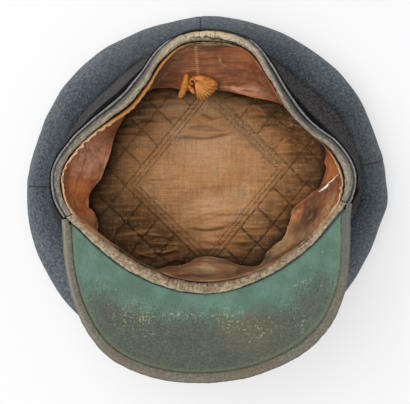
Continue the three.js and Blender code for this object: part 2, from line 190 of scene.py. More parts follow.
class Field:
    """One output of a material's nodes. Arithmetic on it adds Math nodes."""

    def __init__(self, tree, socket=None):
        self.tree = tree
        self.socket = socket

    def node(self, kind, settings=None, inputs=None, output=0):
        """A new node of a type: its settings are set first, then its sockets' values or links."""
        made = self.tree.nodes.new("ShaderNode" + kind)
        for key, value in (settings or {}).items():
            setattr(made, key, value)
        self.fill(made, inputs or {})
        outputs = {found.identifier: found for found in made.outputs}
        return Field(self.tree, outputs[output] if output in outputs else made.outputs[output])

    def fill(self, made, inputs):
        """Links fields to a node's sockets, or sets plain values on them."""
        for key, value in inputs.items():
            socket = next(found for found in made.inputs if key in (found.identifier, found.name))
            if isinstance(value, Field):
                self.tree.links.new(value.socket, socket)
            else:
                socket.default_value = (*value, 1) if socket.type == "RGBA" else value

    def math(self, operation, first, second=0.0):
        return self.node("Math", {"operation": operation}, {"Value": first, "Value_001": second})

    def __add__(self, other):
        return self.math("ADD", self, other)

    __radd__ = __add__

    def __sub__(self, other):
        return self.math("SUBTRACT", self, other)

    def __rsub__(self, other):
        return self.math("SUBTRACT", other, self)

    def __mul__(self, other):
        return self.math("MULTIPLY", self, other)

    __rmul__ = __mul__

    def between(self, low, high):
        """0 up to low and 1 from high, with a soft step between them."""
        ends = {"Value": self, "From Min": low, "From Max": high}
        return self.node("MapRange", {"interpolation_type": "SMOOTHSTEP"}, ends)

    def mix(self, none, full):
        """A colour from none, where this field is 0, to full, where it is 1."""
        ends = {"Factor_Float": self, "A_Color": none, "B_Color": full}
        return self.node("Mix", {"data_type": "RGBA"}, ends, "Result_Color")

    def coats(self, *layers):
        """This colour under layers of (where, strength, colour), each mixed over the ones before. where
        is a field or the name of a mark, and is multiplied by the strength."""
        tone = self
        for where, strength, colour in layers:
            amount = self.mark(where) if isinstance(where, str) else where
            tone = (amount * strength).mix(tone, colour)
        return tone

    def noise(self, scale, detail=2.0, rough=0.5):
        """Cloudy unevenness from 0 to 1 over these coordinates."""
        inputs = {"Vector": self, "Scale": scale, "Detail": detail, "Roughness": rough}
        return self.node("TexNoise", None, inputs)

    def stretched(self, x, y, z):
        """These coordinates, multiplied along each axis."""
        inputs = {"Vector": self, "Vector_001": (x, y, z)}
        return self.node("VectorMath", {"operation": "MULTIPLY"}, inputs)

    def axis(self, number):
        """One of the three numbers of these coordinates."""
        return self.node("SeparateXYZ", None, {"Vector": self}, number)

    def mark(self, name):
        """A value that the piece carries at its points."""
        return self.node("Attribute", {"attribute_name": name}, None, "Fac")

    def place(self):
        """The place on the piece in metres."""
        return self.node("TexCoord", None, None, "Object")

    def laid(self):
        """The place on the piece laid out flat, in metres."""
        return self.node("UVMap", {"uv_map": "lay"})

    def bump(self, height, distance, strength=1.0):
        """A normal bent by a height that is so many metres at 1."""
        return self.node("Bump", None, {"Height": height, "Distance": distance, "Strength": strength})


def surface(tone, rough, shine=None, normal=None):
    """The values of the main shader for a colour, a roughness, a shine and a normal, where given."""
    values = {"Base Color": tone, "Roughness": rough, "Specular IOR Level": shine, "Normal": normal}
    return {socket: value for socket, value in values.items() if value is not None}


def finish(name, look):
    """A material whose main shader takes the values that look gives."""
    material = bpy.data.materials.new(name)
    material.use_nodes = True
    field = Field(material.node_tree)
    field.fill(material.node_tree.nodes["Principled BSDF"], look(field))
    return material


def fit(piece, material, slot, *nodes):
    """Gives a piece its finish, fixes it to the cap and lets it stand for these solids."""
    piece.data.materials.append(material)
    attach(piece, "root")
    if nodes:
        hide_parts(*nodes)
    return piece


def wool_look(field):
    """Milled wool of dark and light blue-grey fibres, with lint and faint grey wear, painted light on the
    back and on the outer parts of the quarters, and painted shade beside the band and the seams.
    """
    at = field.place()
    fibres = at.noise(1500, 2).between(0.42, 0.60)
    flecks = at.noise(850, 3, 0.6).between(0.40, 0.60)
    tufts = at.noise(460, 3, 0.7).between(0.36, 0.64)
    worn = at.noise(26, 3).between(0.4, 0.7)
    lint = at.noise(700, 1).between(0.70, 0.78)
    tone = flecks.mix((0.027, 0.039, 0.052), (0.116, 0.150, 0.182))
    tone = tone.coats(
        (fibres, 0.5, (0.180, 0.217, 0.251)),
        (1 - tufts, 0.66, (0.012, 0.016, 0.021)),
        # random grey wear, and painted light on the back of the crown
        (worn * 0.15 + field.mark("back_painted_light") * 0.30, 1.0, (0.165, 0.178, 0.186)),
        # painted light on the outer part of each quarter
        ("outer_painted_light", 0.10 + tufts * 0.65, (0.200, 0.236, 0.261)),
        ("shade", 0.85, (0.008, 0.010, 0.012)),
        (lint, 0.6, (0.40, 0.41, 0.41)),
    )
    felt = at.noise(1300, 3, 0.6) + flecks * 0.8
    downy = {"Sheen Weight": 0.12, "Sheen Roughness": 0.6}
    return surface(tone, 0.95, 0.15, field.bump(felt, 0.0004, 0.7)) | downy


WOOL = finish("wool", wool_look)

angle = np.linspace(0, 360, 240, endpoint=False)
flat_share = np.r_[np.linspace(0, 1, FLAT_ROWS), np.ones(BEND_ROWS + LIP_ROWS)][:, None]
bend = np.r_[np.zeros(FLAT_ROWS), np.linspace(4.5, 90, BEND_ROWS), np.full(LIP_ROWS, 90)]
bend = np.radians(bend)[:, None]
lip = CROWN_LIP * np.r_[np.zeros(FLAT_ROWS + BEND_ROWS), np.linspace(0.25, 1, LIP_ROWS)][:, None]
edge = around(CROWN_EDGE, angle) - CROWN_TUCK
radius = (edge - CROWN_MARGIN) * flat_share + CROWN_MARGIN * np.sin(bend)
height = CROWN_MARGIN_HEIGHT * (1 - np.cos(bend)) + lip
face = turned(angle, radius, height)
lift = np.sin(bend) * (0.5 * waver(face, 60, 11) + 0.2 * waver(face, 14, 12))
face = lifted(face, lift, True)
face[..., 2] = np.clip(face[..., 2], 0, CROWN_EDGE_HEIGHT - SEAM_ROOM)
crown_top = skin("crown_top_cloth", face, WOOL_WALL, ring=True, pole=True, back_step=3)
fit(crown_top, WOOL, "wool", "crown_top")


# Quarters of the crown
# Four panels of the same wool, sewn to each other, to the round top and to the band. The seams pull the
# cloth in, it puckers where it is eased into the band, and the sides sag in soft waves.

# Each quarter's name, first and last angle, and flat width and height in metres.
QUARTERS = (
    ("back_right", 10, 92, (0.179, 0.044)), ("back_left", 92, 178, (0.188, 0.044)),
    ("front_left", 178, 270, (0.201, 0.058)), ("front_right", 270, 370, (0.218, 0.055)),
)
# The seam between crown and band: angle, distance from the axis.
BAND_SEAM = (
    (8, 116.4), (21, 116.0), (30, 114.0), (40, 110.4), (51, 108.6), (62, 110.8), (73, 111.5),
    (83, 110.6), (97, 110.6), (108, 111.4), (119, 109.3), (132, 107.0), (147, 109.4), (160, 112.6),
    (172, 114.8), (182, 114.6), (190, 111.4), (198, 105.6), (215, 93.6), (240, 82.6), (270, 78.5),
    (300, 82.2), (322, 91.4), (340, 103.4), (350, 110.6), (358, 114.6),
)
SEAM_HEIGHT = 47.5
SEAM_TILT = 3.5
CROWN_BULGE = 5.0
CROWN_BULGE_HEIGHT = 34.0
# How far the cloth stands out between its seams, or sags in where below 0: angle, mm.
CROWN_SAG = (
    (0, 0.5), (4, -0.9), (8, -1.2), (12, -1.9), (16, -3.9), (20, -3.6), (24, -2.4), (28, -0.7),
    (32, 0.3), (38, 0.5), (44, 0.2), (52, -0.5), (60, -0.3), (64, -0.9), (68, -1.3), (72, -1.0),
    (88, -1.0), (92, -0.1), (96, -1.3), (100, -1.1), (106, -0.3), (120, -0.8), (128, 0.4),
    (136, -0.1), (144, 0.9), (152, 0.1), (156, -0.2), (160, -1.4), (168, -3.0), (176, -1.6),
    (184, -1.9), (194, -0.4), (215, 0.3), (300, 0.0), (340, 0.2), (344, -0.7), (348, -0.9),
    (352, 0.0), (356, 1.1),
)
# How much painted light falls on the cloth's outer part, most at the back and left: angle, share.
OUTER_LIGHT_BY_ANGLE = ((20, 0.85), (70, 1.0), (130, 1.2), (165, 1.2), (205, 0.9), (270, 0.9), (330, 0.85))


def shares(count):
    """Even steps from 0 to 1, down a column."""
    return np.linspace(0, 1, count)[:, None]


def bell(x, width):
    """1 at 0, and e to the power of minus x over the width, squared, beside it."""
    return np.exp(-((x / width) ** 2))


def ramp(x, span=1.0):
    """0 up to 0, 1 from the span on, and a straight rise between them."""
    return np.clip(x / span, 0, 1)


def bezier(t, start, corner, end):
    """A quadratic Bezier from start to end, drawn towards a corner."""
    return (1 - t) ** 2 * start + 2 * t * (1 - t) * corner + t**2 * end


def seam_height(angle):
    """The height of the seam between crown and band, lower at the back of the head."""
    return SEAM_HEIGHT - SEAM_TILT * np.sin(np.radians(angle))


def quarter_face(start, end):
    """A quadratic Bezier from the round top's edge past the bulge to the band's seam, then pulled in
    at its four seams, puckered beside them and wavered."""
    gap = 0.03
    angle = np.linspace(start + gap, end - gap, 180)
    t = shares(52)
    edge = around(CROWN_EDGE, angle)
    radius = bezier(t, edge - CROWN_TUCK, edge + CROWN_BULGE, around(BAND_SEAM, angle))
    height = bezier(t, CROWN_EDGE_HEIGHT, CROWN_BULGE_HEIGHT, seam_height(angle) - SEAM_ROOM / 2)
    face = turned(angle, radius, height)
    steps = np.linalg.norm(np.diff(face, axis=0), axis=-1)
    run = np.concatenate([np.zeros((1, len(angle))), np.cumsum(steps, 0)])
    below = run[-1] - run
    side = np.radians(np.minimum(angle - start, end - angle)) * radius
    gathers = waver(turned(angle, 115.0, 0.0), 15, 20)
    lift = 0.5 * waver(face, 80, 21) + 0.35 * waver(face, 26, 22)
    lift = (lift + around(CROWN_SAG, angle)) * ramp(run, 8) * ramp(below, 8)
    lift = lift + 0.9 * gathers * np.exp(-below / 13) * ramp(below, 3)
    lift = lift - 0.3 * bell(side, 1.0)
    lift = lift + 0.12 * np.sin(run / 1.15) * np.exp(-side / 5)
    lift = lift - 0.8 * bell(run, 2.0) - 0.9 * bell(below, 2.4)
    # Painted light: the back of the crown is painted paler.
    dust_and_painted_light = bell(angle - 95, 34) * ramp(run, 20)
    # Painted light: each quarter is painted paler towards its outline, more at the back and left.
    outer_painted_light = np.clip((below - 11) / 19, 0, 1.1) * ramp(run, 10) * around(OUTER_LIGHT_BY_ANGLE, angle)
    shade = 0.5 * bell(below, 2.6) + 0.40 * bell(below, 12)
    shade = ramp(shade + 0.6 * bell(side, 0.6))
    return lifted(face, lift), {"back_painted_light": dust_and_painted_light, "outer_painted_light": outer_painted_light, "shade": shade}


for quarter, start, end, flat in QUARTERS:
    face, marks = quarter_face(start, end)
    panel = skin(f"crown_panel_{quarter}", face, WOOL_WALL, back_step=6, marks=marks)
    fit(panel, WOOL, "wool", f"crown_quarter_{quarter}")


# Band
# A strip of charcoal ribbed braid round the head opening, 44 mm high, sewn to the crown below and
# leaning in at the sides. Its lower edge is turned under and stands out a little over the seam.

BAND_WALL = 1.4
BAND_CUT = 44.0
BAND_INSET = 1.7
BAND_LENGTH = 660.0
# The hollow along the band under the rim: share of its height, half width and depth.
BAND_HOLLOW = (0.84, 0.14, 2.6)
# The rim's outline, which the band stays inside by its inset: angle, distance from the axis.
RIM = (
    (8, 105.4), (21, 98.7), (30, 91.0), (40, 88.1), (51, 91.0), (62, 99.9), (73, 111.6),
    (83, 115.4), (97, 115.1), (108, 107.4), (119, 96.0), (132, 90.6), (147, 94.9), (160, 102.9),
    (172, 109.6), (182, 107.4), (190, 101.4), (198, 92.6), (215, 82.4), (240, 74.4), (270, 71.8),
    (300, 72.4), (322, 78.1), (340, 87.3), (350, 94.5), (358, 102.6),
)


def beside_band(angle, share, out):
    """Distance from the axis and height of a point so far out from the band's outer face, at a share of
    its width: 0 at its seam and 1 at its top edge."""
    seam, low = around(BAND_SEAM, angle), seam_height(angle)
    lean = (around(RIM, angle) - BAND_INSET - seam) / BAND_CUT
    upright = np.sqrt(1 - lean**2)
    along = share * BAND_CUT
    return seam + lean * along + upright * out, low + upright * along - lean * out


def band_look(field):
    """Dark braid of fine upright ribs, crossed by the weave, with a grey dusting on the ribs. It is
    painted paler on the left as painted light, painted black under the rim as painted shadow and dark at
    its foot.
    """
    at = field.place()
    along = field.laid()
    split = along.axis(0)
    across = along.axis(1)
    ribs = field.math("SINE", split * 3600) * 0.5 + 0.5
    weave = field.math("SINE", across * 4200 + split * 1800) * 0.5 + 0.5
    dust_and_painted_light = at.noise(460, 3, 0.6).between(0.40, 0.62)
    tone = (ribs * weave).mix((0.023, 0.022, 0.022), (0.085, 0.081, 0.079))
    tone = tone.coats(
        (dust_and_painted_light, 0.55, (0.138, 0.131, 0.128)),
        # painted light on the left side
        ("left_painted_light", 0.5, (0.122, 0.118, 0.116)),
        # painted shadow under the rim and a dark line along the foot
        ("grime_and_painted_shadow", 0.97, (0.003, 0.003, 0.004)),
    )
    return surface(tone, 0.9, 0.08, field.bump(ribs + weave * 0.6 + at.noise(900, 2) * 0.5, 0.0003, 0.8))


angle = np.linspace(0, 360, 720, endpoint=False)
share = np.linspace(0.004, 0.985, 40)[:, None]
radius, height = beside_band(angle, share, 0.0)
face = turned(angle, radius, height)
run = share * BAND_CUT
lift = 0.5 * waver(face, 45, 41) * np.sin(np.pi * share) + 0.7 * bell(run, 2.2)
lift = lift - BAND_HOLLOW[2] * bell(share - BAND_HOLLOW[0], BAND_HOLLOW[1])
face = lifted(face, lift, True)
lay = np.stack(np.broadcast_arrays(np.linspace(0, BAND_LENGTH, 721), run), -1)
# Painted shadow: the band is painted black from here up to the rim, and darker along its foot.
black_from = 0.49 + 0.11 * bell(angle - 36, 24) - 0.10 * bell(angle - 132, 24)
grime_and_painted_shadow = ramp(share - black_from, 0.08) + 0.3 * bell(run, 1.5)
# Painted light: the band is painted paler on the left.
marks = {"grime_and_painted_shadow": grime_and_painted_shadow, "left_painted_light": bell(angle - 130, 26)}
band = skin("band_braid", face, BAND_WALL, ring=True, back_step=8, marks=marks, lay=lay)
fit(band, finish("band_cloth", band_look), "band_cloth", "band")


# Lining
# A bag of brown cotton quilted over thin wadding in diamonds of 19 mm, with a plain tan diamond sewn in
# the middle between rows of stitching. It lies on the crown and goes up behind the sweatband.

LINING_WALL = 1.2
LINING_FLOOR = 2.3
LINING_FLAT = 0.8
LINING_LOW = 0.1
LINING_EDGE = 16.0
LINING_INSET = 3.4
QUILT = 19.0
# The plain diamond on the laid-out lining: its middle, its two sides, half its width, and the rows of
# stitching round it as distances from its middle.
QUILT_CENTRE = (0.8, 13.0)
QUILT_SIDES = ((54.6, 67.0), (-55.4, 54.6))
PLAIN = 40.8
PLAIN_ROWS = (40.8, 44.2, 47.5)
HALF_ROW = 1.67
PUFF = 1.5
STITCH_PITCH = 2.3
FRAYED_THREADS = 900
# The camera's place, its focal length and the photograph's middle in pixels.
CAMERA = (-1.15, -7.0, 1000.0)
FOCUS = 1275.0
MIDDLE = (205.0, 202.0)
# Where the lining is palest: pixel x, pixel y and height, and its reach across, to the back and the front.
PALEST = (207.0, 166.0, 4.0)
PALE_REACH = (110, 122, 108)
WRINKLE_HEIGHT = 6.0
# The free edge of the sweatband, which hangs over the lining: angle, distance from the axis.
FREE_EDGE = (
    (0, 82.0), (5, 86.4), (10, 90.6), (17, 94.2), (23, 96.2), (30, 95.4), (38, 93.0), (48, 88.5),
    (55, 84.6), (61, 81.0), (66, 79.0), (82, 77.0), (95, 77.0), (102, 77.0), (108, 82.0),
    (114, 86.0), (120, 89.0), (126, 90.0), (132, 88.5), (138, 84.5), (146, 82.0), (158, 77.4),
    (170, 79.5), (184, 88.6), (191, 85.0), (199, 87.0), (207, 86.5), (216, 82.5), (227, 76.5),
    (236, 70.5), (242, 63.0), (251, 56.8), (264, 48.2), (277, 48.2), (290, 56.2), (305, 66.0),
    (322, 64.6), (336, 67.6), (349, 67.0),
)
# Wrinkles, from one pixel of the photograph to another: x0, y0, x1, y1, width in mm, height in mm.
WRINKLES = (
    (140, 97, 186, 97, 1.2, -1.6), (140, 103, 206, 103, 1.0, -1.2), (145, 100, 200, 100, 1.5, 1.4),
    (176, 109, 205, 109, 0.9, -1.0), (176, 113, 206, 113, 0.9, -1.0),
    (178, 111, 204, 111, 1.0, 1.2), (120, 124, 165, 121, 1.1, -1.8), (122, 120, 166, 117, 1.8, 1.3),
    (165, 119, 186, 118, 1.0, -1.2), (198, 116, 222, 117, 1.0, -1.9),
    (200, 119, 226, 121, 1.8, 1.3), (184, 126, 230, 129, 1.1, -1.8), (180, 131, 235, 131, 2.0, 1.3),
    (174, 139, 240, 134, 1.3, -1.9), (172, 135, 240, 130, 1.6, 1.6), (166, 150, 184, 145, 1.4, 1.1),
    (142, 182, 180, 178, 1.3, -1.1), (142, 178, 178, 174, 2.0, 0.9),
    (239, 111, 264, 111, 1.1, -1.8), (240, 107, 264, 107, 1.6, 1.4),
    (264, 111, 288, 113, 1.1, -1.9), (258, 125, 282, 126, 1.2, -1.5),
    (262, 121, 284, 122, 1.6, 1.2), (286, 129, 307, 130, 1.1, -1.9), (284, 126, 306, 126, 1.6, 1.5),
    (286, 142, 302, 142, 1.1, -1.6), (298, 159, 314, 159, 1.1, -1.6),
    (306, 146, 321, 146, 1.1, -1.6), (220, 96, 250, 95, 1.3, -1.8), (222, 99, 250, 99, 1.8, 1.3),
    (146, 239, 176, 239, 1.1, -1.9), (148, 236, 176, 236, 1.6, 1.4),
    (119, 246, 146, 245, 1.1, -1.7), (146, 248, 166, 248, 1.1, -1.6),
    (150, 254, 182, 254, 1.2, -2.1), (150, 250.5, 184, 251, 1.4, 1.7),
    (134, 260, 162, 260, 1.5, -2.2), (136, 256, 160, 256, 1.4, 1.3),
    (164, 264, 186, 263, 1.6, -2.4), (180, 230, 232, 228, 1.1, -1.9),
    (184, 226, 232, 224, 1.8, 1.3), (198, 244, 224, 243, 1.1, -1.2), (190, 216, 250, 206, 2.2, 1.3),
    (196, 221, 252, 212, 1.4, -1.1), (236, 250, 254, 249, 1.1, -1.6),
    (122, 226, 140, 224, 2.2, -1.4), (108, 200, 124, 197, 2.0, -1.2),
    (286, 192, 300, 194, 1.2, -1.3),
)
# Places painted lighter, as painted light where the lining lies in shade, and places painted darker, as
# spots on the photograph: pixel x, pixel y, half length, half width and slant in degrees.
PAINTED_LIGHT_SPOTS = (
    (204, 146, 30, 18, 0), (188, 106, 26, 9, 0), (218, 206, 24, 10, 0), (180, 130, 10, 6, 30),
)
DARKER_SPOTS = (
    (146, 248, 40, 20, -20), (302, 152, 16, 18, 0), (132, 232, 20, 14, 0), (237, 136, 6, 5, 0),
)


def seen_at(x, y, height):
    """The place at a height that shows at a pixel of the photograph."""
    scale = (CAMERA[2] - height) / FOCUS
    return CAMERA[0] + (x - MIDDLE[0]) * scale, CAMERA[1] - (y - MIDDLE[1]) * scale


def pixels_at(points):
    """The pixel of the photograph at which each point shows."""
    scale = FOCUS / (CAMERA[2] - points[..., 2])
    x = MIDDLE[0] + (points[..., 0] - CAMERA[0]) * scale
    return x, MIDDLE[1] - (points[..., 1] - CAMERA[1]) * scale


def spots_on(points, spots):
    """Soft spots, 1 in the middle of each and bells along their length and width."""
    x, y = pixels_at(points)
    total = np.zeros(points.shape[:2])
    for spot_x, spot_y, long, wide, slant in spots:
        way = np.radians(slant)
        along = (x - spot_x) * np.cos(way) - (y - spot_y) * np.sin(way)
        across = (x - spot_x) * np.sin(way) + (y - spot_y) * np.cos(way)
        total += np.exp(-((along / long) ** 2) - (across / wide) ** 2)
    return ramp(total)


def lining_bed(run, angle):
    """Distance from the axis and height of the lining's back, this far out from the middle, and its whole
    length: a flat bed, a quadratic Bezier with its corner under the band's foot, and a straight edge."""
    foot, foot_height = beside_band(angle, LINING_LOW, -LINING_INSET)
    top, top_height = beside_band(angle, LINING_LOW + LINING_EDGE / BAND_CUT, -LINING_INSET)
    flat = LINING_FLAT * foot
    out, up = foot - flat, foot_height - LINING_FLOOR
    bent = (2 * np.hypot(out, up) + out + up) / 3
    t = ramp(run - flat, bent)
    rise = ramp(run - flat - bent, LINING_EDGE)
    radius = np.minimum(run, flat) + out * (1 - (1 - t) ** 2) + rise * (top - foot)
    return radius, LINING_FLOOR + up * t**2 + rise * (top_height - foot_height), flat + bent + LINING_EDGE


def quilt_at(x, y):
    """Places on the laid-out lining as shares of the plain diamond's two sides, from its middle, times
    its width across."""
    (ax, ay), (bx, by) = QUILT_SIDES
    x, y = x - QUILT_CENTRE[0], y - QUILT_CENTRE[1]
    scale = 2 * PLAIN / (ax * by - ay * bx)
    return (x * by - y * bx) * scale, (y * ax - x * ay) * scale


def lining_puff(x, y):
    """The wadding's height on the laid-out lining: pillows that are the root of |cos| times |cos| across
    the quilting, narrow ridges between the rows of stitching, and a plain diamond."""
    p, q = quilt_at(x, y)
    pillow = np.sqrt(np.abs(np.cos(np.pi * p / QUILT) * np.cos(np.pi * q / QUILT)))
    reach = np.maximum(np.abs(p), np.abs(q))
    gap = PLAIN_ROWS[1] - PLAIN_ROWS[0]
    ridge = 0.5 * np.abs(np.sin(np.pi * (reach - PLAIN_ROWS[0]) / gap))
    plain = 0.7 * (1 - np.exp(-np.clip(PLAIN - reach, 0, None) / 2.0))
    return PUFF * np.where(reach > PLAIN_ROWS[2], pillow, np.where(reach > PLAIN_ROWS[0], ridge, plain))


def wrinkle_lift(points):
    """The wrinkles' height: over each one's line a bell of its width that fades towards both ends."""
    lift = np.zeros(points.shape[:2])
    for x0, y0, x1, y1, width, height in WRINKLES:
        start = np.array(seen_at(x0, y0, WRINKLE_HEIGHT))
        way = np.array(seen_at(x1, y1, WRINKLE_HEIGHT)) - start
        length = np.hypot(*way)
        way = way / length
        off = points[..., :2] - start
        along = off @ way / length
        across = off @ np.array([-way[1], way[0]]) + 1.2 * np.sin(7 * along + x0)
        ends = ramp(6 * along) * ramp(6 * (1 - along))
        lift += height * bell(across, 0.75 * width) * ends
    return lift


def lining_look(field):
    """Brown cotton with lengthwise streaks of its yarn, paler in the middle, where the cloth is cleaner
    and light is painted, and darker at its edge, where it is soiled and painted shadow falls under the
    sweatband. Its wrinkles have painted shade in their valleys and painted highlights on their ridges.
    The quilting and the rows round the diamond are broken dark lines, with painted shade in the
    quilting's furrows at the front."""
    at = field.place()
    lay = field.laid()
    x = lay.axis(0) * 1000 - QUILT_CENTRE[0]
    y = lay.axis(1) * 1000 - QUILT_CENTRE[1]
    (ax, ay), (bx, by) = QUILT_SIDES
    scale = 2 * PLAIN / (ax * by - ay * bx)
    wander = (at.noise(130, 2) - 0.5) * 1.6
    p = x * (by * scale) - y * (bx * scale) + wander
    q = y * (ax * scale) - x * (ay * scale) + wander
    reach = field.math("MAXIMUM", field.math("ABSOLUTE", p), field.math("ABSOLUTE", q))
    plain = 1 - reach.between(PLAIN - 0.4, PLAIN + 0.4)
    outside = reach.between(PLAIN_ROWS[2] - 0.5, PLAIN_ROWS[2] + 0.5)
    from_line = []
    for across in (p, q):
        part = field.math("FRACT", across * (1 / QUILT) + 50.0)
        from_line.append(field.math("ABSOLUTE", part - 0.5) * QUILT)
    line = 1 - field.math("MINIMUM", from_line[0], from_line[1]).between(0.2, 1.5)
    row = 1 - field.math("PINGPONG", reach - PLAIN_ROWS[0], HALF_ROW).between(0.2, 0.7)
    past_rows = reach.between(PLAIN_ROWS[2] + 0.4, PLAIN_ROWS[2] + 1.1)
    rows = row * reach.between(PLAIN - 0.8, PLAIN - 0.4) * (1 - past_rows)
    threads = at.stretched(0.2, 1.0, 1.0).noise(750, 3, 0.6)
    weave = at.noise(1100, 2, 0.6)
    blotch = at.noise(38, 4, 0.6).between(0.36, 0.66)
    stain = at.noise(60, 4, 0.6).between(0.54, 0.68)
    orange = at.stretched(0.25, 1.0, 1.0).noise(85, 4, 0.6).between(0.54, 0.70)
    dashes = at.noise(330, 2, 0.5).between(0.36, 0.56)
    slubs = at.stretched(0.07, 1.0, 1.0).noise(620, 3, 0.7)
    warp = at.stretched(1.0, 0.07, 1.0).noise(620, 3, 0.7)
    cloth = slubs + warp - 1.0
    cloud = at.noise(55, 4, 0.65)
    front = 1 - y.between(-40, 0)
    frayed = p.between(38, 41) * (1 - p.between(47, 50)) * (1 - field.math("ABSOLUTE", q).between(38, 42))
    fluff = at.noise(800, 2).between(0.4, 0.6)
    pale = field.mark("pale") + (blotch - 0.5) * 0.35 + (threads - 0.5) * 0.7
    tone = pale.between(-0.1, 0.7).mix((0.168, 0.078, 0.025), (0.405, 0.196, 0.074))
    tone = tone.coats(
        (pale.between(0.5, 1.25), 1.0, (0.625, 0.322, 0.138)),
        (1 - plain, 0.08, (0.120, 0.056, 0.022)),
        (plain * (1 - cloud.between(0.38, 0.52)), 0.35, (0.300, 0.165, 0.075)),
        (plain * cloud.between(0.50, 0.64), 0.5, (0.720, 0.420, 0.220)),
        (1 - cloth.between(-0.16, 0.02), 0.28, (0.140, 0.066, 0.026)),
        (cloth.between(0.02, 0.18), 0.22, (0.760, 0.450, 0.230)),
        # painted light on spots where the lining lies in shade
        ("painted_light_spot", 0.4, (0.860, 0.550, 0.320)),
        (stain, 0.35, (0.300, 0.210, 0.130)),
        (orange, 0.4, (0.640, 0.265, 0.085)),
        (1 - weave.between(0.28, 0.52), 0.3, (0.100, 0.046, 0.018)),
        # painted highlights on the wrinkles' ridges and painted shade in their valleys
        ("ridge", 0.5, (0.700, 0.360, 0.150)),
        ("valley", 0.80, (0.045, 0.018, 0.007)),
        # dark stitched lines with painted shade in the quilting's furrows, stronger at the front
        (line * outside, 0.12 + dashes * 0.35 + front * 0.3, (0.030, 0.013, 0.006)),
        (rows, 0.06 + dashes * 0.3, (0.050, 0.022, 0.010)),
        (frayed, 0.15 + fluff * 0.4, (0.400, 0.260, 0.125)),
        # painted shadow under the sweatband's free edge
        ("deep", 0.9, (0.016, 0.008, 0.004)),
    )
    return surface(tone, 0.82, 0.25, field.bump(threads * 0.6 + weave, 0.00025, 0.7))


def threads(name, paths, radius, sides=6, up=(0.0, 0.0, 1.0)):
    """Round threads: paths[k, j] is point j on the middle of thread k and radius half its thickness.
    Each section is a ring of an even number of points in the plane across the path."""
    count, steps = paths.shape[:2]
    along = unit(np.gradient(paths, axis=1))
    side = unit(np.cross(along, up))
    lift = np.cross(side, along)
    turn = 2 * np.pi * np.arange(sides) / sides
    rings = side[:, :, None] * np.cos(turn)[:, None] + lift[:, :, None] * np.sin(turn)[:, None]
    points = paths[:, :, None] + np.broadcast_to(radius, (count, steps))[..., None, None] * rings
    half = np.arange(sides // 2)
    one = quads_of(np.arange(steps * sides).reshape(steps, sides).T, 1, (half, sides - 1 - half))
    corners = one + np.arange(count)[:, None, None] * steps * sides
    return piece_of(name, points.reshape(-1, 3), corners.reshape(-1, 4))


def on_grid(grid, row, column):
    """Points between the rows and columns of an open grid, in straight proportion."""
    i = np.clip(np.floor(row).astype(int), 0, grid.shape[0] - 2)
    j = np.clip(np.floor(column).astype(int), 0, grid.shape[1] - 2)
    a, b = (row - i)[..., None], (column - j)[..., None]
    low = grid[i, j] * (1 - b) + grid[i, j + 1] * b
    return low * (1 - a) + (grid[i + 1, j] * (1 - b) + grid[i + 1, j + 1] * b) * a


def sewn(name, face, length, p, q, way, stitch, thick):
    """Stitches on the lining: threads, each as long as stitch says, about places on its diamonds, in these
    directions from the diamond's first side, sunk into the cloth at both ends. length is the lining's
    own, from its middle to its edge."""
    step = np.linspace(-0.5, 0.5, 5)
    p = p[:, None] + stitch[:, None] * step * np.cos(way)[:, None]
    q = q[:, None] + stitch[:, None] * step * np.sin(way)[:, None]
    (ax, ay), (bx, by) = QUILT_SIDES
    x = QUILT_CENTRE[0] + (p * ax + q * bx) / (2 * PLAIN)
    y = QUILT_CENTRE[1] + (p * ay + q * by) / (2 * PLAIN)
    column = np.degrees(np.arctan2(y, x)) % 360 / 360 * len(length)
    whole = np.interp(column, np.arange(len(length)), length, period=len(length))
    row = np.hypot(x, y) / whole * (len(face) - 1)
    keep = row.max(1) < 0.86 * len(face)
    paths = on_grid(np.concatenate([face, face[:, :1]], 1), row, column)[keep]
    thick = thick[keep][:, None]
    paths[..., 2] += thick * (0.9 - 6 * step**2)
    return threads(name, paths, thick * (1 - 1.2 * step**2), sides=4)


def speckled(name, grain, dark, light, rough=0.8, shine=None, edges=None, glow=None):
    """A plain finish of two colours mixed by noise of this grain, made sharper between two edges where
    they are given. glow is the colour and the strength of its own light."""

    def look(field):
        specks = field.place().noise(*grain)
        tone = (specks.between(*edges) if edges else specks).mix(dark, light)
        lit = {"Emission Color": glow[0], "Emission Strength": glow[1]} if glow else {}
        return surface(tone, rough, shine) | lit

    return finish(name, look)


def dark_thread_look(field):
    """Dark brown cotton thread, lighter at the back left."""
    at = field.place()
    tone = at.noise(300, 2).mix((0.030, 0.014, 0.006), (0.130, 0.066, 0.030))
    back_left = (at.axis(1) - at.axis(0)).between(0.02, 0.06)
    return surface((back_left * 0.6).mix(tone, (0.190, 0.098, 0.044)), 0.8)


angle = np.linspace(0, 360, 430, endpoint=False)
length = lining_bed(0.0, angle)[2]
run = shares(156) * length
radius, height, _ = lining_bed(run, angle)
bed = turned(angle, radius, height)
up = -facing(bed, True)
laid = turned(angle, run, 0.0)[..., :2]
steep = ramp(run - 0.8 * length, 0.2 * length)
wadding = LINING_WALL + lining_puff(laid[..., 0], laid[..., 1]) * (1 - 0.8 * steep)
middle_x, middle_y = seen_at(*PALEST)
reach_y = np.where(bed[..., 1] > middle_y, *PALE_REACH[1:])
from_middle = np.abs(bed[..., 0] - middle_x) / PALE_REACH[0] + np.abs(bed[..., 1] - middle_y) / reach_y
fine = waver(bed * (0.13, 1, 1), 4.0, 54) * np.clip(1.8 * from_middle - 0.4, 0.12, 1)
creases = wrinkle_lift(bed) + 0.75 * fine
folds = creases + 0.5 * waver(bed, 30, 51) + 0.4 * waver(bed * (0.25, 1, 1), 7, 52)
wadding = np.clip(wadding + folds * (1 - steep), 0.5, None)
face = bed + wadding[..., None] * up
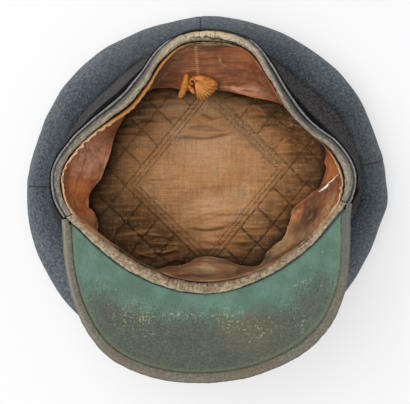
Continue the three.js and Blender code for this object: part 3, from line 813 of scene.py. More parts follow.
# Paler towards the middle: partly cleaner cloth and partly painted light where light reaches the lining.
fading = ramp(from_middle - 0.44, 0.50)
pale = 1.08 * (1 - fading**2 * (3 - 2 * fading))
# The lining is painted darker at these spots.
pale = pale - 0.5 * spots_on(bed, DARKER_SPOTS)
covered = 1.04 * around(FREE_EDGE, angle) - radius
lay = turned(np.linspace(0, 360, 431), np.concatenate([run, run[:, :1]], 1), 0.0)[..., :2]
marks = {
    "pale": np.clip(pale, -0.4, 1.4),
    # Painted light on spots where the lining lies in shade.
    "painted_light_spot": spots_on(bed, PAINTED_LIGHT_SPOTS),
    # Painted shade in the wrinkles' valleys and painted highlights on their ridges.
    "valley": ramp(-0.55 * creases - 0.2),
    "ridge": ramp(0.7 * creases - 0.2),
    # Painted shadow on the lining under the sweatband's overhanging free edge.
    "deep": ramp(1 - covered / 12) ** 1.6,
}
lining = skin("lining_quilt", face, 0, ring=True, pole=True, back_step=12, marks=marks, lay=lay, back=bed)
fit(lining, finish("lining_cloth", lining_look), "lining_cloth", "lining")

draw = np.random.default_rng(53)
along = np.arange(-96, 96, STITCH_PITCH)
line, place = (values.ravel() for values in np.meshgrid(QUILT * (np.arange(-5, 5) + 0.5), along))
quilted = np.maximum(np.abs(line), np.abs(place)) > PLAIN_ROWS[2] + 0.3
row, spot = (values.ravel() for values in np.meshgrid(np.r_[PLAIN_ROWS, np.negative(PLAIN_ROWS)], along))
bordered = (np.abs(spot) < np.abs(row)) & (draw.uniform(size=len(row)) < 0.85)
line, place = np.r_[line[quilted], row[bordered]], np.r_[place[quilted], spot[bordered]]
p, q = np.r_[line, place], np.r_[place, line]
way = np.r_[np.full(len(line), np.pi / 2), np.zeros(len(line))]
sound = (p < PLAIN - 1) | (p > PLAIN + 8) | (np.abs(q) > PLAIN + 2) | (draw.uniform(size=len(p)) < 0.35)
p, q, way = p[sound], q[sound], way[sound]
frayed = draw.uniform((PLAIN - 1.5, -PLAIN), (PLAIN + 8.5, PLAIN), (FRAYED_THREADS, 2))
p, q = np.r_[p, frayed[:, 0]] + draw.normal(0, 0.25, len(p) + FRAYED_THREADS), np.r_[q, frayed[:, 1]]
way = np.r_[way, draw.uniform(0, np.pi, FRAYED_THREADS)]
pale = draw.uniform(size=len(p)) < np.where((p > PLAIN - 2) & (np.abs(q) < PLAIN + 2), 0.62, 0.06)
stitch = np.r_[np.full(len(p) - FRAYED_THREADS, 1.5), draw.uniform(0.6, 1.3, FRAYED_THREADS)]
thick = np.r_[np.full(len(p) - FRAYED_THREADS, 0.24), np.full(FRAYED_THREADS, 0.16)]
dark_thread = finish("dark_thread", dark_thread_look)
pale_thread = speckled("pale_thread", (300, 2), (0.260, 0.155, 0.070), (0.600, 0.420, 0.220))
for name, chosen, thread in (("dark", ~pale, dark_thread), ("pale", pale, pale_thread)):
    laid_at = (p[chosen], q[chosen], way[chosen], stitch[chosen], thick[chosen])
    stitches = sewn(f"lining_stitches_{name}", face, length, *laid_at)
    fit(stitches, thread, "lining_cloth", "lining")


# Rim binding
# A strip of pale woven cloth folded over the band's top edge, rolled thick and soft with wear. Its two
# ends are cut on the slant where they meet the narrower strip over the peak.

BINDING_WALL = 0.9
# How far the inner side of the roll swells inwards: angle, mm.
RIM_FLARE = (
    (2, 1.6), (8, 2.4), (20, 2.5), (32, 1.9), (45, 1.6), (58, 2.0), (66, 1.9), (77, 1.2), (90, 2.4),
    (101, 1.5), (110, 2.3), (126, 3.0), (140, 2.6), (152, 1.4), (176, 0.5), (186, 0.6), (195, 2.2),
    (207, 3.9), (225, 3.7), (240, 3.2), (250, 2.8), (275, 2.6), (300, 1.2), (330, 1.4), (350, 1.1),
)
# The roll over the rim from its outer to its inner edge: out, up, share of the flare.
BACK_ROLL = (
    (1.3, -6.5, 0.0), (1.5, -3.2, 0.0), (1.6, -0.4, 0.0), (1.5, 1.6, 0.0), (-0.4, 2.7, 0.1),
    (-2.1, 2.1, 0.4), (-2.9, 0.5, 0.8), (-2.9, -3.0, 1.0), (-2.8, -6.2, 1.0),
)
# Shade and wear of the roll: angle, painted shade on its outer side, rubbing and painted light on its top.
RIM_SHADE_AND_WEAR = (
    (0, 0.3, 0.3), (20, 0.7, 0.3), (45, 0.95, 0.45), (62, 0.9, 0.55), (75, 0.3, 0.75),
    (90, 0.0, 1.0), (99, 0.05, 1.0), (106, 0.4, 0.75), (114, 0.75, 0.5), (125, 0.8, 0.7),
    (145, 0.65, 0.6), (160, 0.4, 0.4), (178, 0.2, 0.2), (280, 0.2, 0.2),
)
# The outer and the inner angle of the roll's two slanting ends.
BACK_START = (-5.5, -2.0)
BACK_END = (190.8, 188.3)


def at_rim(angle, out, up):
    """A point beside the band's top edge: so far out from its outer face and so far up along it."""
    return turned(angle, *beside_band(angle, 1 + up / BAND_CUT, out))


def drawn_through(leads, count):
    """Soft lines led by rows of points: uniform cubic B-splines from the first row to the last."""
    led = np.concatenate([leads[:1], leads[:1], leads, leads[-1:], leads[-1:]])
    place = np.linspace(0, len(led) - 3, count)
    low = np.minimum(place.astype(int), len(led) - 4)
    t = (place - low).reshape(-1, 1, 1)
    weights = ((1 - t) ** 3, 3 * t**3 - 6 * t**2 + 4, -3 * t**3 + 3 * t**2 + 3 * t + 1, t**3)
    return sum(weight * led[low + step] for step, weight in enumerate(weights)) / 6


def columns_around(rows, angle):
    """The values round the cap from each column of rows of (angle, value, value and so on)."""
    return [around([(row[0], row[k]) for row in rows], angle) for k in range(1, len(rows[0]))]


def roll_face(roll, start, end, rows, columns):
    """Lines over the rim led by a roll's rows, from a slanting start to a slanting end: outer and inner
    angle of each. Also the angle and the share across, 0 at the outer edge."""
    out, up, flared = (column[:, None] for column in np.array(roll).T)
    slant = np.linspace(0, 1, len(roll))[:, None]
    first = start[0] + (start[1] - start[0]) * slant
    last = end[0] + (end[1] - end[0]) * slant
    angle = first + (last - first) * np.linspace(0, 1, columns)
    leads = at_rim(angle, out - flared * around(RIM_FLARE, angle), up)
    return drawn_through(leads, rows), angle[len(roll) // 2], shares(rows)


def strip_look(field):
    """Pale felted cloth, grey-beige and mottled, lighter on top where it is worn and painted light falls,
    with a yellow-green stain, and painted shade on its outer side, in the groove and in the slit.
    """
    at = field.place()
    along = field.laid().stretched(0.3, 1.0, 1.0)
    mottle = along.noise(900, 4, 0.65).between(0.38, 0.62)
    blotch = at.noise(75, 3).between(0.38, 0.66)
    specks = at.noise(900, 2).between(0.56, 0.70)
    tone = mottle.mix((0.105, 0.098, 0.080), (0.360, 0.335, 0.278))
    tone = tone.coats(
        (blotch, 0.35, (0.185, 0.182, 0.165)),
        # lighter top: rubbed wear and painted light
        ("rubbed_and_painted_light", 0.65 + mottle * 0.35, (0.830, 0.690, 0.510)),
        ("stain", 0.6, (0.900, 0.760, 0.420)),
        (specks, 0.4, (0.080, 0.068, 0.052)),
        # painted shade on the roll's outer side
        ("outer_painted_shade", 0.55 + mottle * 0.3, (0.045, 0.040, 0.036)),
        # painted shade in the groove by the welt and in the slit under the torn edge
        ("groove", 0.85, (0.014, 0.013, 0.012)),
        ("slit", 1.0, (0.006, 0.005, 0.003)),
    )
    return surface(tone, 0.9, 0.2, field.bump(at.noise(700, 4, 0.65) + mottle * 0.7, 0.0005, 0.8))


STRIP = finish("rim_strip", strip_look)
face, angle, across = roll_face(BACK_ROLL, BACK_START, BACK_END, 40, 660)
lift = 0.28 * waver(face, 22, 61) + 0.16 * waver(face, 6, 62) + 0.08 * waver(face, 2.6, 63)
edge_line = turned(angle, 105.0, 0.0)
ragged = 0.03 * waver(edge_line, 7, 66) + 0.02 * waver(edge_line, 2.2, 67)
torn = across - 0.68 + 0.009 * (angle - 90) + ragged
gape = 0.036 + 0.030 * ramp(91 - angle, 6) + 0.014 * waver(edge_line, 4, 68)
slit = bell(torn, np.clip(gape, 0.012, 1)) * ramp(11 - np.abs(angle - 86), 3)
lean = (around(RIM, angle) - BAND_INSET - around(BAND_SEAM, angle)) / BAND_CUT
groove = bell(across - 0.36 - 0.2 * lean, 0.04)
face = lifted(face, lift - 0.9 * slit - 0.3 * groove)
outer_shade, top_rub_and_light = columns_around(RIM_SHADE_AND_WEAR, angle)
lay = np.stack(np.broadcast_arrays(1.85 * angle, 14.0 * across), -1)
marks = {
    # Lighter top of the roll: rubbed wear and painted light.
    "rubbed_and_painted_light": bell(across - 0.62, 0.17) * ramp(top_rub_and_light * (1 + 0.2 * waver(face, 30, 64))),
    # Painted shade on the roll's outer side.
    "outer_painted_shade": ramp(0.53 - across, 0.08) * outer_shade,
    "stain": bell(angle - 90, 14) * ramp(0.7 + 0.5 * waver(face, 9, 65)),
    # Painted shade in the slit and in the groove.
    "slit": slit,
    "groove": groove,
}
back_face = face
binding = skin("rim_roll_back", face, BINDING_WALL, back_step=3, marks=marks, lay=lay)
fit(binding, STRIP, "rim_strip", "rim_binding")


# Rim strip over the peak
# The front of the rim is bound with thinner, pinkish cloth whose outer fold shows as a cream line along
# the peak. It is cracked across and frayed, so that ends of its yarn lie loose on it.

# The strip's roll and the angles of its two ends, given as those of the back are.
FRONT_ROLL = (
    (0.9, -6.0, 0.0), (1.1, -3.2, 0.0), (1.7, -1.0, 0.0), (1.9, 1.0, 0.0), (-0.2, 1.9, 0.1),
    (-2.2, 1.7, 0.4), (-3.4, 0.5, 0.8), (-3.5, -2.8, 1.0), (-3.3, -6.0, 1.0),
)
FRONT_START = (191.1, 188.6)
FRONT_END = (354.2, 357.7)
# Cracks across the strip: angle and depth.
CRACKS = (
    (229.0, 0.3), (247.2, 0.9), (252.0, 0.4), (254.4, 0.5), (257.0, 0.4), (259.3, 0.5),
    (262.0, 0.4), (264.6, 0.5), (270.3, 0.8), (291.0, 0.4),
)


def loose_yarn(name, face, rows, columns, count, lengths, thick, seed):
    """Short ends of yarn that lie on a grid, between these rows and columns: each one an arc in a random
    direction, thin at both ends and sunk a little into the cloth."""
    draw = np.random.default_rng(seed)
    row = draw.uniform(*rows, (count, 1))
    column = draw.uniform(*columns, (count, 1))
    pitch_row = np.linalg.norm(np.diff(face, axis=0), axis=-1).mean()
    pitch_column = np.linalg.norm(np.diff(face, axis=1), axis=-1).mean()
    length = draw.uniform(*lengths, (count, 1))
    way = draw.uniform(0, np.pi, (count, 1))
    turn = way + draw.uniform(-0.8, 0.8, (count, 1)) * np.linspace(-1, 1, 7)
    step = np.linspace(-0.5, 0.5, 7) * length
    row = row + step * np.sin(turn) / pitch_row
    column = column + step * np.cos(turn) / pitch_column
    out = facing(face)
    radius = thick * draw.uniform(0.6, 1.2, (count, 1)) * np.sqrt(1 - np.linspace(-0.95, 0.95, 7) ** 2)
    paths = on_grid(face, row, column) + on_grid(out, row, column) * radius[..., None] * 0.7
    return threads(name, paths, radius, up=on_grid(out, row, column))


def front_strip_look(field):
    """Pinkish-beige cloth with brown soiling in its hollows and a cream outer fold."""
    at = field.place()
    mottle = at.noise(380, 4, 0.65).between(0.36, 0.64)
    grime_and_painted_shadow = at.noise(120, 3, 0.6).between(0.46, 0.66)
    tone = mottle.mix((0.238, 0.164, 0.098), (0.580, 0.440, 0.296))
    tone = tone.coats(
        ("inner", 0.7, (0.240, 0.142, 0.076)),
        (grime_and_painted_shadow, 0.4, (0.150, 0.096, 0.058)),
        ("fold", 0.55 + mottle * 0.4, (0.640, 0.570, 0.400)),
        ("crack", 0.85, (0.050, 0.032, 0.022)),
    )
    return surface(tone, 0.9, 0.2, field.bump(at.noise(800, 4, 0.65) + mottle * 0.7, 0.0005, 0.8))


face, angle, across = roll_face(FRONT_ROLL, FRONT_START, FRONT_END, 30, 620)
lift = 0.30 * waver(face, 16, 66) + 0.22 * waver(face, 5, 67) + 0.12 * waver(face, 2.4, 68)
crack = np.zeros_like(lift)
for at_angle, depth in CRACKS:
    off = np.radians(angle - at_angle) * 70 + 0.5 * np.sin(9 * across + at_angle)
    ends = ramp(12 * (across - 0.40)) * ramp(9 * (0.86 - across))
    crack += depth * bell(off, 0.32) * ends
face = lifted(face, lift - 0.7 * crack)
marks = {
    "fold": bell(across - 0.38, 0.06),
    "inner": ramp(across - 0.57 + 0.03 * waver(face, 9, 71), 0.10),
    "crack": crack,
}
front_strip = skin("rim_strip_front", face, BINDING_WALL, back_step=3, marks=marks)
fit(front_strip, finish("rim_strip_front", front_strip_look), "rim_strip", "rim_binding")
# Undyed yarn, cream to tan.
YARN_TONES = ((0.300, 0.225, 0.150), (0.560, 0.490, 0.380))
YARN = speckled("loose_yarn", (300, 2), *YARN_TONES, 0.85, 0.2, edges=(0.35, 0.65))
front_yarn = loose_yarn("rim_front_yarn", face, (11, 19), (9, 603), 260, (1.0, 3.4), 0.2, 69)
fit(front_yarn, YARN, "rim_strip", "rim_binding")
back_yarn = loose_yarn("rim_back_yarn", back_face, (18, 30), (269, 369), 150, (0.8, 3.0), 0.2, 70)
fit(back_yarn, YARN, "rim_strip", "rim_binding")


# Rim welt
# A thin pale cord of covered piping along the outside of the binding, from one end of the peak round the
# back to the other. Below it lies a black cord that stands in for the welt's shadow, as painted shadow.

WELT_RADIUS = 0.75
WELT_FROM = -5.0
WELT_TO = 190.0
# The cord and the black shadow cord below it, beside the band's top edge: out and up.
WELT_AT = (2.65, -2.0)
SHADOW_CORD_AT = (3.3, -3.4)
SHADOW_CORD_RADIUS = 1.15


def welt_look(field):
    """Grey-beige twisted cord with soil between its strands, painted black at the back of the head as
    painted shadow.
    """
    at = field.place()
    strands = at.noise(520, 3, 0.6).between(0.30, 0.62)
    # Painted shadow: the cord is painted black at the back of the head.
    back = at.axis(1).between(0.107, 0.111)
    tone = strands.mix((0.170, 0.172, 0.168), (0.330, 0.330, 0.315))
    tone = (back * 0.95).mix(tone, (0.006, 0.006, 0.006))
    return surface(tone, 0.9, None, field.bump(strands, 0.0003, 0.8))


angle = np.linspace(WELT_FROM, WELT_TO, 600)
uneven = waver(turned(angle, 110.0, 0.0), 20, 71)
path = at_rim(angle, WELT_AT[0] + 0.12 * uneven, WELT_AT[1])
welt = threads("rim_welt_cord", path[None], WELT_RADIUS * (1 + 0.08 * uneven), sides=8)
fit(welt, finish("rim_welt", welt_look), "rim_strip", "rim_welt")
tucked = 1.3 * bell(angle - 90, 13)
# Painted shadow: a black cord below the welt, drawn in at the back of the head.
path = at_rim(angle, SHADOW_CORD_AT[0] + 0.15 * uneven - tucked, SHADOW_CORD_AT[1])
shadow_cord = threads("rim_welt_shadow_cord", path[None], SHADOW_CORD_RADIUS * (1 + 0.1 * uneven), sides=8)
# Painted shadow: black with a little grey dust.
SHADOW_BLACKS = ((0.003, 0.003, 0.003), (0.016, 0.016, 0.016))
shadow_finish = speckled("rim_welt_shadow_cord", (600, 3, 0.6), *SHADOW_BLACKS, 0.95, 0.05, edges=(0.4, 0.7))
fit(shadow_cord, shadow_finish, "rim_strip", "rim_welt")


# Sweatband
# A wide strip of brown leather sewn inside the rim, shrunk and curled inwards, so that its lower edge is
# free and wavy. Its top stands up in a raw tan edge, wide at the back left, and the strip has creased and
# folded.

SWEATBAND_WALL = 1.2
SWEATBAND_CUT = 46.0
SWEATBAND_CURL = 0.62
# The inner side of the binding, which the leather follows, as a distance out from the band's face.
BINDING_SIDE = -4.0
# The raw top edge: angle, how far it stands away from the binding, how far up it goes, and how far it
# covers the strip.
TOP_EDGE = (
    (0, 1.4, 0.4, 0.0), (10, 1.2, 0.3, 0.0), (18, 0.6, -1.0, 0.0), (26, 0.0, -2.6, 0.0),
    (60, 0.0, -2.6, 0.0), (82, 0.2, -2.2, 0.0), (96, 0.6, -1.2, 0.0), (101, 1.4, 0.2, 0.0),
    (108, 2.0, 0.5, 0.0), (116, 2.3, 0.5, 0.0), (128, 2.2, 0.6, 0.0), (137, 2.3, 0.6, 0.05),
    (146, 2.0, 0.6, 0.1), (158, 1.6, 0.6, 0.15), (172, 1.5, 0.6, 0.2), (184, 1.2, 0.5, 0.3),
    (191, 1.0, 0.4, 0.7), (198, 0.8, 0.3, 1.0), (205, 0.3, -1.0, 0.5), (213, 0.0, -2.6, 0.0),
    (300, 0.0, -2.6, 0.0), (311, 0.2, -1.4, 0.3), (319, 0.5, -0.4, 0.7), (330, 0.8, 0.0, 0.9),
    (340, 0.9, 0.1, 1.0), (347, 1.0, 0.2, 1.0), (354, 1.2, 0.3, 0.6),
)
# Folds from the rim to the free edge: angle at the rim, angle at the free edge, width and height in mm.
FOLDS = (
    (24, 22, 3.0, -0.9), (17, 15, 2.4, 0.9), (168, 171, 6.0, 0.9), (177, 187, 2.4, -1.8),
    (186, 196, 3.5, 1.2), (203, 200, 4.0, -0.9), (215, 214, 6.0, 0.8), (236, 235, 5.0, 0.7),
    (250, 250, 4.0, -0.7), (263, 262, 3.0, 0.9), (290, 288, 4.0, 0.9), (305, 306, 5.0, -1.0),
    (322, 317, 4.0, 1.3), (334, 329, 5.0, -1.2), (344, 338, 5.0, 1.5),
)
# The sharp crease at the right: angle at the rim, angle at the free edge.
CREASE = (9.0, -1.0)
BACK_SEAM = 94.2
# A painted highlight along the crease, a thin white glint: pixel x, pixel y, half width in mm.
CREASE_GLINT = (
    (340.3, 172.5, 0.15), (334.0, 178.5, 0.3), (330.0, 182.7, 0.5), (326.5, 186.5, 1.0),
    (322.5, 189.4, 0.6), (318.5, 192.0, 0.12),
)
# Tones of the leather, as spots on the photograph: pixel x, pixel y, half length, half width and slant in
# degrees.
ORANGE_SPOTS = (
    (80, 190, 13, 17, 0), (91, 212, 8, 16, -12), (330, 170, 8, 15, 10), (293, 219, 4, 13, 76),
    (105, 158, 5, 16, -15), (260, 98, 24, 4, -20), (287, 230, 8, 3.5, 65), (298, 212, 9, 2.5, 48),
)
# Pinkish leather and painted sheen: the narrow spots are painted highlights on the hem's folds.
PINK_SPOTS = (
    (92, 152, 19, 20, 55), (246, 93, 16, 1.2, -14), (262, 103, 16, 1.0, -20),
    (236, 88, 14, 1.0, -6), (103, 170, 1.5, 20, -20), (82, 165, 9, 11, 0), (257, 92, 13, 5, -18),
)
# Dark leather, and painted shadow beside the bow, along the free edge at the back left and by the binding.
DARK_SPOTS = (
    (307, 220, 13, 6, 45), (293, 248, 18, 2.0, 29), (200, 276, 30, 2.5, 2), (238, 272, 14, 2.5, 18),
    (190, 44.5, 14, 1.6, 0), (225, 45.5, 14, 1.6, 0), (150, 80, 20, 4, 50), (208, 44.5, 16, 1.6, 0),
    (265, 258, 8, 4, 30), (312, 214, 9, 5, 45), (303, 246, 16, 1.5, 42), (284, 254, 14, 1.5, 28),
    (206, 49, 15, 3.0, 0), (219, 86, 2.0, 7, 0), (162, 82, 14, 3.5, 5), (156, 76, 5, 7, 0),
)
# Beige leather; the two at the front middle are a painted highlight on the bulging leather.
BEIGE_SPOTS = (
    (284, 242, 14, 5.5, 30), (285, 245, 9, 4.5, 30), (211, 269, 9, 3.0, 0), (330, 203, 13, 3, 62),
    (204, 265, 7, 4, 0), (208, 44.5, 26, 1.2, 0), (220, 60, 1.0, 4.0, 10),
    (223.5, 65, 2.6, 0.9, -35), (322, 226, 12, 2.5, 58),
)
# Brown leather; the two at the back left are painted shade beside the raw edge and under the rim.
BROWN_SPOTS = (
    (326, 191, 15, 5, 45), (311, 204, 14, 6, 40), (300, 226, 12, 5, 60), (340, 178, 6, 4, 60),
    (176, 56, 12, 12, 0), (228, 261, 9, 3, 0), (170, 268, 10, 4, -12), (168, 69, 12, 9, 45),
)


def sweatband_look(field):
    """Old brown leather: orange where it is clean, pinkish in places and in a painted sheen, grey-tan and
    dry over the peak, with streaks down it and a pale raw edge. Some dark, brown and beige spots are
    painted shade, shadow and highlights."""
    at = field.place()
    streaks = at.stretched(1.0, 1.0, 0.10).noise(300, 4, 0.6).between(0.36, 0.66)
    blotch = at.noise(42, 4, 0.55).between(0.36, 0.66)
    grain = at.noise(900, 3, 0.6)
    scuffs = at.stretched(1.0, 1.0, 0.3).noise(420, 3, 0.7).between(0.63, 0.72)
    sideways = field.math("ABSOLUTE", at.axis(0)).between(0.045, 0.075)
    rubs = at.stretched(0.14, 1.0, 1.0).noise(280, 4, 0.65) * (1 - sideways)
    rubs = rubs + at.stretched(1.0, 0.14, 1.0).noise(280, 4, 0.65) * sideways
    tone = blotch.mix((0.235, 0.075, 0.028), (0.450, 0.155, 0.056))
    tone = tone.coats(
        (streaks, 0.4, (0.48, 0.200, 0.090)),
        ("orange", 0.6 + streaks * 0.4, (0.960, 0.330, 0.105)),
        # pinkish leather and painted sheen
        ("pink", 0.4 + streaks * 0.55, (0.900, 0.470, 0.320)),
        ("dry", 0.62 + blotch * 0.33, (0.375, 0.262, 0.142)),
        ("dark", 0.85, (0.060, 0.034, 0.020)),
        ("beige", 0.55 + streaks * 0.45, (0.640, 0.430, 0.210)),
        ("brown", 0.75, (0.180, 0.088, 0.050)),
        (1 - rubs.between(0.36, 0.52), 0.45, (0.105, 0.042, 0.022)),
        (rubs.between(0.52, 0.66), 0.35, (0.690, 0.332, 0.168)),
        (scuffs, 0.4, (0.500, 0.330, 0.220)),
    )
    raw = grain.between(0.3, 0.7).mix((0.380, 0.150, 0.034), (0.640, 0.310, 0.085))
    raw = (field.mark("cream") * (0.5 + grain * 0.6)).mix(raw, (0.850, 0.560, 0.320))
    raw = (field.mark("fold") * 0.75).mix(raw, (0.130, 0.048, 0.012))
    tone = field.mark("raw").mix(tone, raw)
    normal = field.bump(grain + streaks * 0.8, 0.0003, 0.5)
    return surface(tone, 0.42 + grain * 0.25 + field.mark("dry") * 0.2, 0.45, normal)


def half_turn(angle):
    """The same angles from -180 to 180."""
    return (angle + 180) % 360 - 180


rows = 72
angle = np.linspace(0, 360, 760, endpoint=False)
flare = around(RIM_FLARE, angle)
rim_line = at_rim(angle, 0.0, 0.0)
stand, crest, cover = columns_around(TOP_EDGE, angle)
wavy = np.clip((angle - 138) / 10, 0.25, 1) * ramp(205 - angle, 10) + 1.5 * ramp(20 - angle, 10)
fine = 0.42 * waver(rim_line, 5.2, 81) * wavy * np.clip(stand, 0, 1.6)
stand = stand + fine
shift = 4.2 * cover - flare
free_radius = around(FREE_EDGE, angle)
sewn_radius, sewn_height = beside_band(angle, 1 - 0.6 / BAND_CUT, -4.4)
free_height = sewn_height - np.sqrt(SWEATBAND_CUT**2 - (sewn_radius - free_radius) ** 2)
start_radius, start_height = beside_band(angle, 1 + (crest - 3.2) / BAND_CUT, -4.6 + shift - stand)
t = np.array([0.25, 0.5, 0.75, 1.0])[:, None]
bend_radius = free_radius + SWEATBAND_CURL * (start_radius - free_radius)
bend_height = (free_height + start_height) / 2
hang_radius = bezier(t, start_radius, bend_radius, free_radius)
hang_height = bezier(t, start_height, bend_height, free_height)
over = crest + 2.5 * cover + fine
leads = [
    at_rim(angle, BINDING_SIDE - flare, crest - 3.8),
    at_rim(angle, BINDING_SIDE + shift - 0.1 * stand, crest - 1.2 + 2.2 * cover),
    at_rim(angle, BINDING_SIDE + shift - 0.7 * stand, over + 0.3),
    at_rim(angle, -4.8 + shift - stand, over),
    turned(angle, start_radius, start_height),
    *turned(angle, hang_radius, hang_height),
]
face = drawn_through(np.array(leads), rows)
place = np.linspace(0, 10, rows)[:, None]
down = ramp(place - 4.0, 6.0)
radius = np.hypot(face[..., 0], face[..., 1])
lift = (0.7 * waver(face, 40, 82) + 0.25 * waver(face, 11, 83)) * np.sin(np.pi * np.clip(down, 0, 0.75))
for top_angle, free_angle, width, height in FOLDS:
    off = half_turn(angle - (top_angle + (free_angle - top_angle) * down))
    lift = lift + height * bell(np.radians(off) * radius, width) * ramp(3 * down)
off = np.radians(half_turn(angle - (CREASE[0] + (CREASE[1] - CREASE[0]) * down))) * radius
lift = lift + 2.6 * np.where(off < 0, np.exp(off / 8), np.exp(-off / 1.4)) * ramp(4 * down)
hem = bell(angle - 69, 15) * (np.sin(24 * down) * ramp(6 * (down - 0.72)))
lift = lift + 0.9 * hem
face = lifted(face, lift, True)
from_front = np.abs(half_turn(angle - 270))
bare = ramp(from_front - 77, 5)
tucked = ramp(2 - np.abs(angle - 225) / 11) + ramp(2 - np.abs(angle - 37) / 9)
beside_back = ramp(np.abs(angle - 86) - 10, 4)
marks = {
    "raw": (1 - ramp(place - 3.3, 0.5)) * ramp(crest + 1.2, 1.4) * bare * beside_back,
    "cream": ramp(np.abs(angle - 90) - 49, 14) + 0 * place,
    "fold": ramp(2.3 - place, 0.7) * ramp(150 - angle, 14),
    "orange": spots_on(face, ORANGE_SPOTS),
    "pink": spots_on(face, PINK_SPOTS),
    # Dark spots, and painted shadow where the leather's top goes under the rim.
    "dark": np.maximum(spots_on(face, DARK_SPOTS), tucked * (place < 5.5)),
    "brown": spots_on(face, BROWN_SPOTS),
    "beige": spots_on(face, BEIGE_SPOTS),
    "dry": ramp(82 - from_front, 14) * ramp(0.75 + 0.5 * waver(face, 18, 85)),
}
sweatband = skin("sweatband_leather", face, SWEATBAND_WALL, ring=True, back_step=8, marks=marks)
fit(sweatband, finish("sweat_leather", sweatband_look), "sweat_leather", "sweatband")

step = np.linspace(0, len(CREASE_GLINT) - 1, 28)
knots = np.arange(len(CREASE_GLINT))
x_wanted, y_wanted, thick = (np.interp(step, knots, column) for column in np.array(CREASE_GLINT).T)
x, y = pixels_at(face[30:])
from_glint = np.hypot(x[..., None] - x_wanted, y[..., None] - y_wanted).reshape(-1, len(step))
path = face[30:].reshape(-1, 3)[from_glint.argmin(0)]
for _ in range(3):
    path[1:-1] = (path[:-2] + 2 * path[1:-1] + path[2:]) / 4
crease_glint = threads("sweatband_crease_glint", path[None], thick, sides=8)
# Painted highlight: a near white glint on the crease, which gives off a little light of its own.
GLINT_TONES = ((0.820, 0.790, 0.740), (0.950, 0.940, 0.920))
glint_finish = speckled("crease_glint", (500, 2), *GLINT_TONES, glow=((1.0, 0.96, 0.90), 0.3))
fit(crease_glint, glint_finish, "sweat_leather", "sweatband")

row = np.linspace(36, 56, 17)[:, None] + 0 * np.linspace(0, 1, 5)
column = BACK_SEAM / 360 * len(angle) + np.linspace(-1.7, 1.7, 5) + 0 * row
paths = on_grid(face, row, column) + 0.1 * on_grid(facing(face, True), row, column)
ladder = threads("sweatband_stitches", paths, 0.26 * np.sqrt(1.1 - np.linspace(-1, 1, 5) ** 2), sides=6)
# Orange-tan linen thread.
linen = speckled("seam_thread", (300, 2), (0.560, 0.250, 0.080), (0.860, 0.520, 0.240))
fit(ladder, linen, "sweat_leather", "sweatband")
frayed = loose_yarn("sweatband_fray", face, (21, 31), (166, 216), 190, (0.7, 2.4), 0.16, 86)
# Olive and straw-coloured threads of the worn hem.
HEM_TONES = ((0.120, 0.085, 0.035), (0.420, 0.330, 0.160))
hem_threads = speckled("frayed_hem", (260, 2), *HEM_TONES, 0.85, edges=(0.35, 0.65))
fit(frayed, hem_threads, "sweat_leather", "sweatband")


# Bow on the sweatband
# A narrow tan ribbon tied at the back seam: one loop rolled up on edge at the left, a small ring and a
# twisted tail at the knot, and a loop at the right that spreads in fine pleats. It leans on the leather.

BOW_CENTRE = (-6.0, 79.8, 60.7)
BOW_LEAN = 40.0
BOW_FLAT = np.cos(np.radians(BOW_LEAN))
FAN_PIVOT = (-2.2, 3.2)
# The fan's outline round its pivot: angle, distance.
FAN_EDGE = (
    (131, 3.6), (108, 2.8), (85, 2.7), (62, 3.2), (40, 4.8), (22, 7.2), (5, 12.3), (-5, 16.0),
    (-18, 16.7), (-36, 15.1), (-56, 13.9), (-76, 13.7), (-84, 10.6),
)
FAN_PLEATS = 42


def on_bow(x, y, z):
    """Points of the bow's leaning frame from places as seen from above and heights off its plane."""
    lean = np.radians(BOW_LEAN)
    x, y, z = np.broadcast_arrays(x, y / BOW_FLAT, z)
    tipped = (x, y * np.cos(lean) - z * np.sin(lean), y * np.sin(lean) + z * np.cos(lean))
    return np.stack(tipped, -1) + BOW_CENTRE


def ribbon_look(field):
    """Tan ribbon with fine lengthwise ribs, unevenly faded and soiled, with painted highlights on its
    pleats' ridges and painted shade in their hollows and along the fan's far edge.
    """
    at = field.place()
    ribs = at.stretched(1.0, 0.5, 0.5).noise(700, 2, 0.6).between(0.35, 0.65)
    fade = at.noise(170, 3).between(0.36, 0.66)
    soiled = at.noise(330, 3, 0.6).between(0.50, 0.62)
    tone = fade.mix((0.500, 0.145, 0.020), (0.800, 0.295, 0.056))
    tone = tone.coats(
        (ribs, 0.35, (0.830, 0.365, 0.088)),
        (soiled, 0.35, (0.230, 0.075, 0.018)),
        # painted highlights on the pleats' ridges and painted shade in their hollows
        ("ridge", 0.55, (0.960, 0.480, 0.155)),
        ("hollow", 0.9, (0.170, 0.045, 0.010)),
    )
    return surface(tone, 0.7, 0.3, field.bump(ribs + at.noise(1200, 2) * 0.5, 0.00025, 0.6))


RIBBON = finish("ribbon", ribbon_look)
turns, reaches = np.array(FAN_EDGE[::-1]).T
turn = np.linspace(turns[0], turns[-1], 300)
share = np.linspace(0.06, 1, 48)[:, None]
reach = np.interp(turn, turns, reaches) + 0.25 * np.sin(turn * 1.3)
crease = np.sin(FAN_PLEATS * np.pi * (turn - turns[0]) / (turns[-1] - turns[0]))
shown = np.clip(1.7 - (turn - turns[0]) / 60, 0.06, 1)
pleat = 0.36 * crease * shown * np.sin(np.pi * np.clip(share, 0, 0.62)) ** 0.8
dome = 2.4 * np.sin(np.pi * share**0.8) ** 0.8 + 1.2
x = FAN_PIVOT[0] + share * reach * np.cos(np.radians(turn))
y = FAN_PIVOT[1] + share * reach * np.sin(np.radians(turn))
face = on_bow(x, y, dome + pleat + 0.25 * waver(np.stack([x, y, 0 * x], -1), 5, 91))
pleated = shown * ramp(3 * share)
far_edge = ramp(share - 0.92, 0.06) * ramp(turn + 30, 30)
